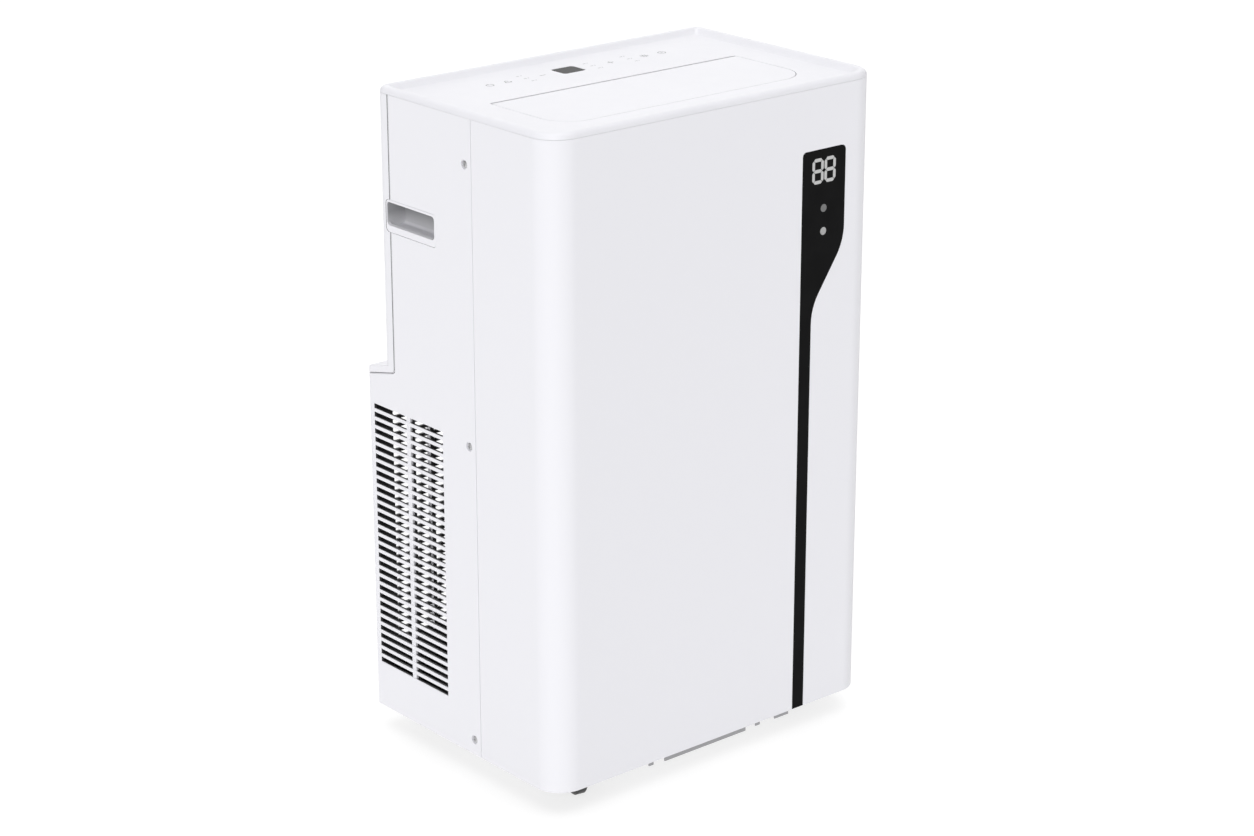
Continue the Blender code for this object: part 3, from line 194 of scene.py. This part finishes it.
def moulded_skin(made, roughness):
    """A fine spark-eroded grain over faint, broad waves in the wall. Returns the waves."""
    waves = made.noise(7)
    made.rough(made.noise(60, 3), *roughness)
    made.bumps((waves, 0.0004), (made.noise(1500), 0.00003))
    return waves


def moulded(name, first, second, roughness, **settings):
    made = Finish(name, **settings)
    made.colour(moulded_skin(made, roughness), first, second)
    return made.material


def inner_shade_shell():
    """The casing's white plastic, with painted shade on the faces that look into the cabinet.

    The painted shade also fills the slots between the slats of the grilles, below the casing's outer face.
    """
    made = Finish("inner_shade_shell", specular=WHITE_SPECULAR)
    aside = made.vector("MULTIPLY", made.place, (1, 1, 0))["Vector"]
    outward = made.vector("DOT_PRODUCT", aside, made.facing)["Value"]
    inner = made.remap(outward, 1, 0, -0.02, -0.004)
    x, y, z = made.position()
    below = made.math("LESS_THAN", made.math("ABSOLUTE", x), SIDE - SKIN_DEPTH)
    for limit in (
        made.math("LESS_THAN", y, BACK - SKIN_DEPTH),
        made.math("GREATER_THAN", y, GRILLE_FRONT),
        made.math("LESS_THAN", z, GRILLE_TOP),
        made.math("LESS_THAN", outward, 0.02),
    ):
        below = made.math("MULTIPLY", below, limit)
    # Painted shade: near-black on the inward faces and between the slats
    made.colour(made.math("MAXIMUM", inner, below), WHITE, WALL_PAINTED_SHADE, 0, 1)
    moulded_skin(made, WHITE_ROUGHNESS)
    return made.material


def cup_shell():
    """The casing's white plastic at the rim and on the cup's floor, and painted shade on the cup's walls, a
    grey that deepens upward.
    """
    made = Finish("cup_shell", specular=WHITE_SPECULAR)
    across, _, height = made.position()
    inside = made.remap(made.math("ABSOLUTE", across), 1, 0, SIDE - 2 * SKIN_DEPTH, SIDE - SKIN_DEPTH)
    upward = made.node("ShaderNodeSeparateXYZ", Vector=made.facing).outputs["Z"]
    # Painted shade: the cup's walls turn grey, and darker towards the top, under the lip
    walls = made.math("MULTIPLY", inside, made.remap(upward, 1, 0))
    shade = made.math("MULTIPLY", walls, made.remap(height, 0.5, 1, CUP_LOW, CUP_HIGH))
    stops = made.colour(shade, WHITE, CUP_DEEP_SHADE, 0, 1)
    stops.new(0.5).color = (*CUP_HALF_SHADE, 1)
    moulded_skin(made, WHITE_ROUGHNESS)
    return made.material


def pan_shell():
    """Grey plastic outside, and painted shade from the pan's floor upward."""
    made = Finish("pan_shell", specular=0.35)
    height = made.position()["Z"]
    # Painted shade: near-black from the pan's floor upward, inside the cabinet
    inside = made.remap(height, 0, 1, PAN_FLOOR - 0.0012, PAN_FLOOR - 0.0008)
    made.colour(inside, PAN_GREY, PAN_PAINTED_SHADE, 0, 1)
    moulded_skin(made, (0.42, 0.55))
    return made.material


def drawn_metal(name, first, second, roughness, stretch):
    """Metal with a directional grain and faint staining."""
    made = Finish(name, metallic=1.0)
    lines = made.noise(900, 3, stretch)
    made.colour(made.noise(35, 4), first, second)
    made.rough(lines, *roughness)
    made.bumps((lines, 0.00002), (made.noise(120), 0.00005))
    return made.material


def black_glass():
    made = Finish("black_gloss", specular=0.03)
    made.colour(made.noise(40, 3), (0.0055, 0.0055, 0.0057), (0.0070, 0.0070, 0.0073))
    made.rough(made.noise(90, 4), 0.10, 0.2)
    made.bumps((made.noise(25), 0.00003), (made.noise(700), 0.000004))
    return made.material


def black_enamel():
    """Thick sprayed enamel with an orange-peel skin."""
    made = Finish("black_enamel", coat=0.4, coat_roughness=0.2)
    made.colour(made.noise(30, 3), (0.020, 0.020, 0.021), (0.030, 0.030, 0.031))
    made.rough(made.noise(80, 3), 0.3, 0.45)
    made.bumps((made.noise(260), 0.00012))
    return made.material


def solder_mask():
    """A green board with tracks and pads that show faintly through the mask."""
    made = Finish("solder_mask", coat=0.5, coat_roughness=0.15)
    tracks = made.cells(320)
    made.colour(tracks, (0.010, 0.085, 0.032), (0.022, 0.150, 0.060), 0.2, 0.5)
    made.rough(tracks, 0.3, 0.5)
    made.bumps((tracks, 0.00006))
    return made.material


def rubber():
    made = Finish("rubber", specular=0.35)
    made.colour(made.noise(50, 3), (0.014, 0.014, 0.015), (0.022, 0.022, 0.023))
    made.rough(made.noise(150, 3), 0.65, 0.85)
    made.bumps((made.noise(900, 3), 0.00006))
    return made.material


def glowing(name, tint, strength):
    """A lit lens: a diffusing grain over a lamp."""
    made = Finish(name, glow=strength)
    grain = made.noise(800)
    made.colour(grain, [0.92 * c for c in tint], tint)
    made.surface.inputs["Emission Color"].default_value = (*tint, 1)
    made.rough(grain, 0.3, 0.5)
    return made.material


FINISHES = {
    "white_plastic": moulded("white_shell", *WHITE_PATCHES, WHITE_ROUGHNESS, specular=WHITE_SPECULAR),
    "black_gloss": black_glass(),
    "black_plastic": moulded("black_nylon", (0.018, 0.018, 0.019), (0.026, 0.026, 0.027), (0.38, 0.52)),
    "grey_plastic": moulded("grey_plastic", (0.33, 0.33, 0.34), (0.37, 0.37, 0.38), (0.42, 0.55)),
    "steel": drawn_metal("zinc_plated", (0.50, 0.50, 0.51), (0.62, 0.62, 0.63), (0.28, 0.42), (1, 1, 6)),
    "zinc": drawn_metal("galvanised_sheet", (0.48, 0.50, 0.51), (0.62, 0.64, 0.65), (0.35, 0.55), None),
    "fins": drawn_metal("fin_aluminium", (0.68, 0.70, 0.72), (0.80, 0.81, 0.82), (0.3, 0.5), (0.2, 1, 4)),
    "copper": drawn_metal("copper_tube", (0.62, 0.27, 0.14), (0.78, 0.38, 0.22), (0.22, 0.4), (1, 1, 0.2)),
    "black_steel": black_enamel(),
    "rubber": rubber(),
    "board": solder_mask(),
    "filter": moulded("filter_nylon", (0.10, 0.105, 0.11), (0.14, 0.145, 0.15), (0.5, 0.7)),
}
INNER_GREY = moulded("inner_grey", (0.045, 0.045, 0.047), (0.060, 0.060, 0.062), (0.45, 0.6))
INNER_SHADE_SHELL = inner_shade_shell()
CUP_SHELL = cup_shell()
SPECIAL = {
    "base_pan": pan_shell(),
    "handle_cup_left": CUP_SHELL,
    "handle_cup_right": CUP_SHELL,
    "front_casing": INNER_SHADE_SHELL,
    "rear_casing": INNER_SHADE_SHELL,
    "rear_upper_casing": INNER_SHADE_SHELL,
    "evaporator_scroll": INNER_GREY,
    "condenser_scroll": INNER_GREY,
    "partition_tray": INNER_GREY,
    "exhaust_duct": INNER_GREY,
}
PRINT_GREY = moulded("print_grey", (0.22, 0.22, 0.23), (0.26, 0.26, 0.27), (0.4, 0.5))
DIGIT_WHITE = glowing("digit_white", (0.49, 0.49, 0.49), 0.08)
LAMP_DIM = glowing("lamp_dim", (0.15, 0.15, 0.15), 0.03)
LAMP_LIT = glowing("lamp_lit", (0.36, 0.36, 0.36), 0.06)


# Surfaces of the CAD nodes

# Edges sharper than this many degrees stay sharp, and edges sharper than the second are rounded
SMOOTH_LIMIT = 32
ROUND_LIMIT = 40
FLAT_LIMIT = 0.3
WELD_DISTANCE = 0.00001


def smooth_group():
    """A modifier that shades smooth, but keeps each edge sharper than the limit."""
    group = bpy.data.node_groups.new("smooth_by_angle", "GeometryNodeTree")
    group.is_modifier = True
    for way in ("INPUT", "OUTPUT"):
        group.interface.new_socket("Geometry", in_out=way, socket_type="NodeSocketGeometry")
    start = group.nodes.new("NodeGroupInput")
    end = group.nodes.new("NodeGroupOutput")
    faces = group.nodes.new("GeometryNodeSetShadeSmooth")
    edges = group.nodes.new("GeometryNodeSetShadeSmooth")
    edges.domain = "EDGE"
    edges.inputs["Shade Smooth"].default_value = False
    angle = group.nodes.new("GeometryNodeInputMeshEdgeAngle")
    sharp = group.nodes.new("FunctionNodeCompare")
    sharp.operation = "GREATER_THAN"
    sharp.inputs["B"].default_value = math.radians(SMOOTH_LIMIT)
    links = group.links
    links.new(start.outputs[0], faces.inputs["Geometry"])
    links.new(faces.outputs["Geometry"], edges.inputs["Geometry"])
    links.new(angle.outputs["Unsigned Angle"], sharp.inputs["A"])
    links.new(sharp.outputs["Result"], edges.inputs["Selection"])
    links.new(edges.outputs["Geometry"], end.inputs[0])
    return group


SMOOTH = smooth_group()


def soften(thing, width=0.0):
    """Merges a mesh's split corners, rounds its edges by width and shades it smooth."""
    mesh = thing.data
    custom = mesh.attributes.get("custom_normal")
    if custom:
        mesh.attributes.remove(custom)
    weld = thing.modifiers.new("weld", "WELD")
    weld.merge_threshold = WELD_DISTANCE
    if width:
        flat = thing.modifiers.new("flat", "DECIMATE")
        flat.decimate_type = "DISSOLVE"
        flat.angle_limit = math.radians(FLAT_LIMIT)
        edge = thing.modifiers.new("edge", "BEVEL")
        edge.width = width
        edge.segments = 2
        edge.limit_method = "ANGLE"
        edge.angle_limit = math.radians(ROUND_LIMIT)
        edge.use_clamp_overlap = True
    smooth = thing.modifiers.new("smooth", "NODES")
    smooth.node_group = SMOOTH
    weighted = thing.modifiers.new("weighted", "WEIGHTED_NORMAL")
    weighted.keep_sharp = True


EDGES = {
    "front_casing": 0.0004,
    "rear_upper_casing": 0.0005,
    "top_cover": 0.0003,
    "outlet_flap": 0.0005,
    "front_panel": 0.0003,
    "display_window": 0.0003,
    "handle_cup_left": 0.0006,
    "handle_cup_right": 0.0006,
}


def finish_nodes():
    slots = {row["node"]: row["material_slot"] for row in frame["record"]["subparts"]}
    for name, thing in NODES.items():
        thing.data.materials.clear()
        thing.data.materials.append(SPECIAL.get(name, FINISHES[slots[name]]))
        soften(thing, EDGES.get(name, 0.0))


# Making pieces


def settle(thing, finish, body=CABINET):
    """Gives a new piece its material and its body."""
    thing.data.materials.clear()
    thing.data.materials.append(finish)
    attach(thing, body)
    return thing


def object_from(name, bm):
    bmesh.ops.recalc_face_normals(bm, faces=bm.faces)
    mesh = bpy.data.meshes.new(name)
    bm.to_mesh(mesh)
    bm.free()
    made = bpy.data.objects.new(name, mesh)
    bpy.context.scene.collection.objects.link(made)
    return made


def prisms(name, outlines, place, low, high):
    """Thin plates with these outlines, which place maps from (u, v, height) to a point."""
    bm = bmesh.new()
    for outline in outlines:
        rings = [[bm.verts.new(place(u, v, h)) for u, v in outline] for h in (low, high)]
        bm.faces.new(rings[0])
        bm.faces.new(rings[1])
        for k in range(len(outline)):
            n = (k + 1) % len(outline)
            bm.faces.new((rings[0][k], rings[0][n], rings[1][n], rings[1][k]))
    bmesh.ops.triangulate(bm, faces=[f for f in bm.faces if len(f.verts) > 4])
    return object_from(name, bm)


def add_box(bm, low, high):
    corners = [
        bm.verts.new((x, y, z))
        for x in (low[0], high[0])
        for y in (low[1], high[1])
        for z in (low[2], high[2])
    ]
    sides = ((0, 1, 3, 2), (4, 6, 7, 5), (0, 4, 5, 1), (2, 3, 7, 6), (0, 2, 6, 4), (1, 5, 7, 3))
    for side in sides:
        bm.faces.new([corners[k] for k in side])


def tube(bm, points, radius, sides=8):
    """A round tube along these points, added to a mesh."""
    rings = []
    last = None
    for k, point in enumerate(points):
        here = Vector(point)
        ahead = Vector(points[min(k + 1, len(points) - 1)])
        behind = Vector(points[max(k - 1, 0)])
        way = (ahead - behind).normalized()
        across = last - way * last.dot(way) if last else way.orthogonal()
        across.normalize()
        last = across
        other = way.cross(across)
        ring = []
        for s in range(sides):
            angle = math.tau * s / sides
            ring.append(bm.verts.new(here + radius * (across * math.cos(angle) + other * math.sin(angle))))
        rings.append(ring)
    for lower, upper in zip(rings, rings[1:]):
        for s in range(sides):
            n = (s + 1) % sides
            bm.faces.new((lower[s], lower[n], upper[n], upper[s]))
    bm.faces.new(rings[0])
    bm.faces.new(rings[-1])


# Print and lamps

PRINT_SUNK = -0.0003
PRINT_PROUD = 0.00006
LENS_SUNK = -0.0002
LENS_PROUD = 0.00008


def on_deck(u, v, height):
    return u, v, DECK + height


def on_front(u, v, height):
    return u, PANEL_FACE - height, v


def polar(u, v, radius, angle):
    return u + radius * math.cos(angle), v + radius * math.sin(angle)


def bar(u, v, length, width, degrees=0.0):
    """A stroke with round ends, centred on (u, v)."""
    points = []
    turn = math.radians(degrees)
    for k in range(10):
        angle = math.pi * (k % 5) / 4 - math.pi / 2
        way = 1 if k < 5 else -1
        a = way * (length / 2 + width / 2 * math.cos(angle))
        b = way * width / 2 * math.sin(angle)
        along = a * math.cos(turn) - b * math.sin(turn)
        aside = a * math.sin(turn) + b * math.cos(turn)
        points.append((u + along, v + aside))
    return points


def arc(u, v, radius, width, start=0.0, end=360.0):
    """A curved stroke as short four-sided pieces."""
    count = max(4, round((end - start) / 15))
    inner, outer = radius - width / 2, radius + width / 2
    pieces = []
    for k in range(count):
        a, b = (math.radians(start + (end - start) * n / count) for n in (k, k + 1))
        pieces.append(
            [polar(u, v, inner, a), polar(u, v, outer, a), polar(u, v, outer, b), polar(u, v, inner, b)]
        )
    return pieces


# The two figures' left edges, their width and height, the stroke and the gap at its mitres
FIGURE_LEFTS = (0.1258, 0.1430)
FIGURE_WIDTH = 0.0160
FIGURE_HEIGHTS = (0.6125, 0.6395)
FIGURE_STROKE = 0.0036
MITRE_GAP = 0.00035
LAMP_X = 0.143
LAMP_RADIUS = 0.0042
LAMP_SIDES = 28
LAMPS = (("lamp_upper", 0.5855, LAMP_DIM), ("lamp_lower", 0.5608, LAMP_LIT))


def level_stroke(left, right, v, half):
    """A level bar with a point at each end."""
    return [
        (left, v),
        (left + half, v - half),
        (right - half, v - half),
        (right, v),
        (right - half, v + half),
        (left + half, v + half),
    ]


def digit(left):
    """The seven bars of a lit figure eight, mitred like those of a display."""
    low, high = FIGURE_HEIGHTS
    right = left + FIGURE_WIDTH
    middle = (low + high) / 2
    half = FIGURE_STROKE / 2
    shapes = []
    for v in (low + half, middle, high - half):
        shapes.append(level_stroke(left + half + MITRE_GAP, right - half - MITRE_GAP, v, half))
    for u in (left + half, right - half):
        for bottom, top in ((low + half, middle), (middle, high - half)):
            upright = level_stroke(bottom + MITRE_GAP, top - MITRE_GAP, 0, half)
            shapes.append([(u - b, a) for a, b in upright])
    return shapes


def front_display():
    """Two lit figures and two round lamps behind the black panel's face."""
    figures = [shape for left in FIGURE_LEFTS for shape in digit(left)]
    made = prisms("display_figures", figures, on_front, LENS_SUNK, LENS_PROUD)
    settle(made, DIGIT_WHITE)
    for name, z, finish in LAMPS:
        disc = [polar(LAMP_X, z, LAMP_RADIUS, math.tau * k / LAMP_SIDES) for k in range(LAMP_SIDES)]
        made = prisms(name, [disc], on_front, LENS_SUNK, LENS_PROUD)
        settle(made, finish)


KEY_ROW = 0.0685
KEYS = (-0.1165, -0.0935, -0.0475, 0.044, 0.091, 0.1155)
MARK_COLUMNS = (-0.0705, 0.0185, 0.069)
MARK_ROWS = (0.0560, 0.0685, 0.0810)
SIGN_LINE = 0.0009
SIGN_RADIUS = 0.0040
SIGN_WIDTH = 0.0072


def power_sign(u, v):
    stem = bar(u, v + 0.0034, 0.0034, SIGN_LINE, 90)
    return arc(u, v, SIGN_RADIUS, SIGN_LINE, 120, 420) + [stem]


def fan_sign(u, v):
    shapes = []
    for angle in (90, 210, 330):
        blade = polar(u, v, 0.0024, math.radians(angle))
        shapes += arc(*blade, 0.0017, SIGN_LINE, angle - 150, angle + 90)
    return shapes


def less_sign(u, v):
    return [bar(u, v, SIGN_WIDTH, SIGN_LINE)]


def more_sign(u, v):
    return less_sign(u, v) + [bar(u, v, SIGN_WIDTH, SIGN_LINE, 90)]


def sun_sign(u, v):
    shapes = arc(u, v, 0.0022, SIGN_LINE)
    for k in range(8):
        angle = math.tau * k / 8
        shapes.append(bar(*polar(u, v, 0.0042, angle), 0.0010, SIGN_LINE, math.degrees(angle)))
    return shapes


def clock_sign(u, v):
    hands = [bar(u, v + 0.0013, 0.0022, SIGN_LINE, 90), bar(u + 0.0011, v, 0.0016, SIGN_LINE)]
    return arc(u, v, 0.0042, SIGN_LINE) + hands


def key_symbols():
    """Plain signs printed over the touch keys, and the small marks between them."""
    signs = (power_sign, fan_sign, less_sign, more_sign, sun_sign, clock_sign)
    shapes = [shape for sign, u in zip(signs, KEYS) for shape in sign(u, KEY_ROW)]
    made = prisms("key_symbols", shapes, on_deck, PRINT_SUNK, PRINT_PROUD)
    settle(made, PRINT_GREY)
    shapes = []
    for u in MARK_COLUMNS:
        for v in MARK_ROWS:
            shapes += [bar(u, v, 0.0030, 0.0008), bar(u + 0.0042, v, 0.0004, 0.0012)]
    made = prisms("key_marks", shapes, on_deck, PRINT_SUNK, PRINT_PROUD)
    settle(made, PRINT_GREY)


# Grilles

TOP_SLOT = 0.372
SLOT_PITCH = 0.0094
SLOT_HEIGHT = 0.0056
SHELL_WALL = 0.003
POST_RECESS = 0.0006
SIDE_POST = (0.0815, 0.0880)
SIDE_ROWS = range(32)
REAR_POST = (0.138, 0.143)
REAR_ROWS = range(30)
LOW_POST = (-0.003, 0.003)
LOW_ROWS = range(16, 30)


def grille_posts():
    """Short posts that join the slats of each grille, just behind the casing's outer face."""
    bm = bmesh.new()
    reach = SLOT_HEIGHT / 2 + 0.0003
    outer, inner = POST_RECESS, SHELL_WALL - 0.0002
    for row in SIDE_ROWS:
        z = TOP_SLOT - row * SLOT_PITCH
        for side in (-1, 1):
            x0, x1 = sorted(side * (SIDE - depth) for depth in (outer, inner))
            add_box(bm, (x0, SIDE_POST[0], z - reach), (x1, SIDE_POST[1], z + reach))
    columns = ((REAR_ROWS, REAR_POST), (REAR_ROWS, (-REAR_POST[1], -REAR_POST[0])), (LOW_ROWS, LOW_POST))
    for rows, (x0, x1) in columns:
        for row in rows:
            z = TOP_SLOT - row * SLOT_PITCH
            add_box(bm, (x0, BACK - inner, z - reach), (x1, BACK - outer, z + reach))
    posts = settle(object_from("grille_posts", bm), FINISHES["white_plastic"])
    soften(posts, 0.0003)


# Coils and filter

FIN_PITCH = 0.0022
FIN_HALF = 0.00013
END_PLATE = 0.0024
FIN_MARGIN = (0.0026, 0.002, 0.004)
TUBE_INSET = 0.006
TUBE_RADIUS = 0.0034
BEND_RADIUS = 0.0030
BEND_REACH = 0.0062
BEND_STEPS = 6


def coil_fins(node, inner_low, inner_high):
    """The fins and the two end plates, which stand in for the coil's solid."""
    low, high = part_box(node)
    bm = bmesh.new()
    span = inner_high.x - inner_low.x
    count = int(span / FIN_PITCH)
    for k in range(count):
        x = inner_low.x + span * (k + 0.5) / count
        add_box(bm, (x - FIN_HALF, *inner_low.yz), (x + FIN_HALF, *inner_high.yz))
    for x in (low.x, high.x - END_PLATE):
        add_box(bm, (x, low.y, low.z), (x + END_PLATE, high.y, high.z))
    fins = settle(object_from(f"{node}_fins", bm), FINISHES["fins"])
    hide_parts(node)


def return_bend(bm, x, side, start, end):
    """A half-round bend outside an end plate, from one (y, z) to another."""
    middle_y, middle_z = (start[0] + end[0]) / 2, (start[1] + end[1]) / 2
    bend = [(x - side * 0.001, *start)]
    for s in range(BEND_STEPS + 1):
        angle = math.pi * s / BEND_STEPS
        out = x + side * (0.0012 + BEND_REACH * math.sin(angle))
        share = math.cos(angle)
        bend.append((out, middle_y + (start[0] - middle_y) * share, middle_z + (start[1] - middle_z) * share))
    bend.append((x - side * 0.001, *end))
    tube(bm, bend, BEND_RADIUS)


def coil(node, rows):
    """A finned coil in place of its solid stand-in: thin fins, end plates, tubes and return bends."""
    low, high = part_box(node)
    margin = Vector(FIN_MARGIN)
    inner_low, inner_high = low + margin, high - margin
    coil_fins(node, inner_low, inner_high)
    bm = bmesh.new()
    pitch = (inner_high.z - inner_low.z) / rows
    heights = [inner_low.z + pitch * (k + 0.5) for k in range(rows)]
    depths = (inner_low.y + TUBE_INSET, inner_high.y - TUBE_INSET)
    for z in heights:
        for y in depths:
            tube(bm, [(inner_low.x, y, z), (inner_high.x, y, z)], TUBE_RADIUS)
    for z in heights:
        return_bend(bm, low.x, -1, (depths[0], z), (depths[1], z))
    for k, z in enumerate(heights[:-1]):
        y = depths[k % 2]
        return_bend(bm, high.x, 1, (y, z), (y, z + pitch))
    pipes = settle(object_from(f"{node}_tubes", bm), FINISHES["copper"])
    soften(pipes)


WEAVE_PITCH = 0.0024
WEAVE_HALF = 0.00028
WEAVE_DEPTH = 0.0008
WEAVE_MARGIN = 0.004
WEAVE_OVERLAP = 0.002
FRAME_BAR = 0.004
FRAME_GAP = 0.0002
FRAME_BAYS = 4
FRAME_RAILS = 3


def thread_places(start, end):
    """The middles of the threads between two edges of the frame."""
    count = int((end - start - 2 * WEAVE_MARGIN) / WEAVE_PITCH)
    return [start + WEAVE_MARGIN + (k + 0.5) * WEAVE_PITCH for k in range(count)]


def filter_weave(low, high):
    sheet = high.y - WEAVE_DEPTH
    half = WEAVE_HALF
    bm = bmesh.new()
    z0, z1 = low.z + WEAVE_OVERLAP, high.z - WEAVE_OVERLAP
    for x in thread_places(low.x, high.x):
        add_box(bm, (x - half, sheet - half, z0), (x + half, sheet + half, z1))
    x0, x1 = low.x + WEAVE_OVERLAP, high.x - WEAVE_OVERLAP
    for z in thread_places(low.z, high.z):
        add_box(bm, (x0, sheet - 0.2 * half, z - half), (x1, sheet + 1.2 * half, z + half))
    weave = settle(object_from("filter_weave", bm), FINISHES["filter"], "filter_door")
    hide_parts("filter_mesh")


def filter_frame(low, high):
    bm = bmesh.new()
    near, far = low.y, high.y - 0.0003
    bay = (high.x - low.x - FRAME_BAR) / FRAME_BAYS
    for k in range(FRAME_BAYS + 1):
        x = low.x + k * bay
        add_box(bm, (x, near, low.z), (x + FRAME_BAR, far, high.z))
    rise = (high.z - low.z - FRAME_BAR) / (FRAME_RAILS - 1)
    for k in range(FRAME_RAILS):
        z = low.z + k * rise
        for n in range(FRAME_BAYS):
            x0 = low.x + n * bay + FRAME_BAR + FRAME_GAP
            x1 = low.x + (n + 1) * bay - FRAME_GAP
            add_box(bm, (x0, near + FRAME_GAP, z), (x1, far - FRAME_GAP, z + FRAME_BAR))
    made = settle(object_from("filter_frame", bm), FINISHES["filter"], "filter_door")
    soften(made, 0.0003)


def filter_sheet():
    """The washable filter: a woven nylon sheet in its barred frame."""
    low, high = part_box("filter_mesh")
    filter_weave(low, high)
    filter_frame(low, high)


# Stage


def floor():
    bm = bmesh.new()
    bmesh.ops.create_circle(bm, cap_ends=True, radius=30, segments=64)
    made = object_from("floor", bm)
    pale = Finish("pale_floor", glow=0.74)
    pale.colour(pale.noise(3), (0.29, 0.29, 0.29), (0.31, 0.31, 0.31))
    pale.rough(pale.noise(20), 0.85, 0.95)
    pale.surface.inputs["Emission Color"].default_value = (1, 1, 1, 1)
    made.data.materials.append(pale.material)


def soft_sun(name, azimuth, elevation, spread, strength):
    """A broad, distant softbox in this direction; azimuth 0 is in front, and -90 is at the left."""
    lamp = bpy.data.lights.new(name, "SUN")
    lamp.angle = math.radians(spread)
    lamp.energy = strength * math.pi
    made = bpy.data.objects.new(name, lamp)
    a, e = math.radians(azimuth), math.radians(elevation)
    ray = Vector((math.sin(a) * math.cos(e), -math.cos(a) * math.cos(e), math.sin(e)))
    made.rotation_euler = ray.to_track_quat("Z", "Y").to_euler()
    bpy.context.scene.collection.objects.link(made)


def lights():
    world = bpy.data.worlds.new("studio")
    bpy.context.scene.world = world
    world.use_nodes = True
    sky = world.node_tree.nodes["Background"]
    sky.inputs["Color"].default_value = (1, 1, 1, 1)
    sky.inputs["Strength"].default_value = 0.28
    soft_sun("key", -50, 20, 30, 0.385)
    soft_sun("left", -100, 20, 50, 0.04)
    soft_sun("back", 140, 25, 60, 0.25)
    soft_sun("top", 0, 88, 70, 0.54)


def camera():
    lens = bpy.data.cameras.new("camera")
    lens.lens = 87.38
    lens.sensor_width = 36
    lens.clip_end = 200
    made = bpy.data.objects.new("camera", lens)
    made.location = (-1.9812, -2.3325, 1.4334)
    made.rotation_euler = [math.radians(a) for a in (70.443, 0, -40.466)]
    bpy.context.scene.collection.objects.link(made)
    bpy.context.scene.camera = made


finish_nodes()
front_display()
key_symbols()
grille_posts()
coil("evaporator_coil", 9)
coil("condenser_coil", 7)
filter_sheet()
floor()
lights()
camera()
bpy.context.scene.view_settings.view_transform = "Standard"

bpy.context.view_layer.update()
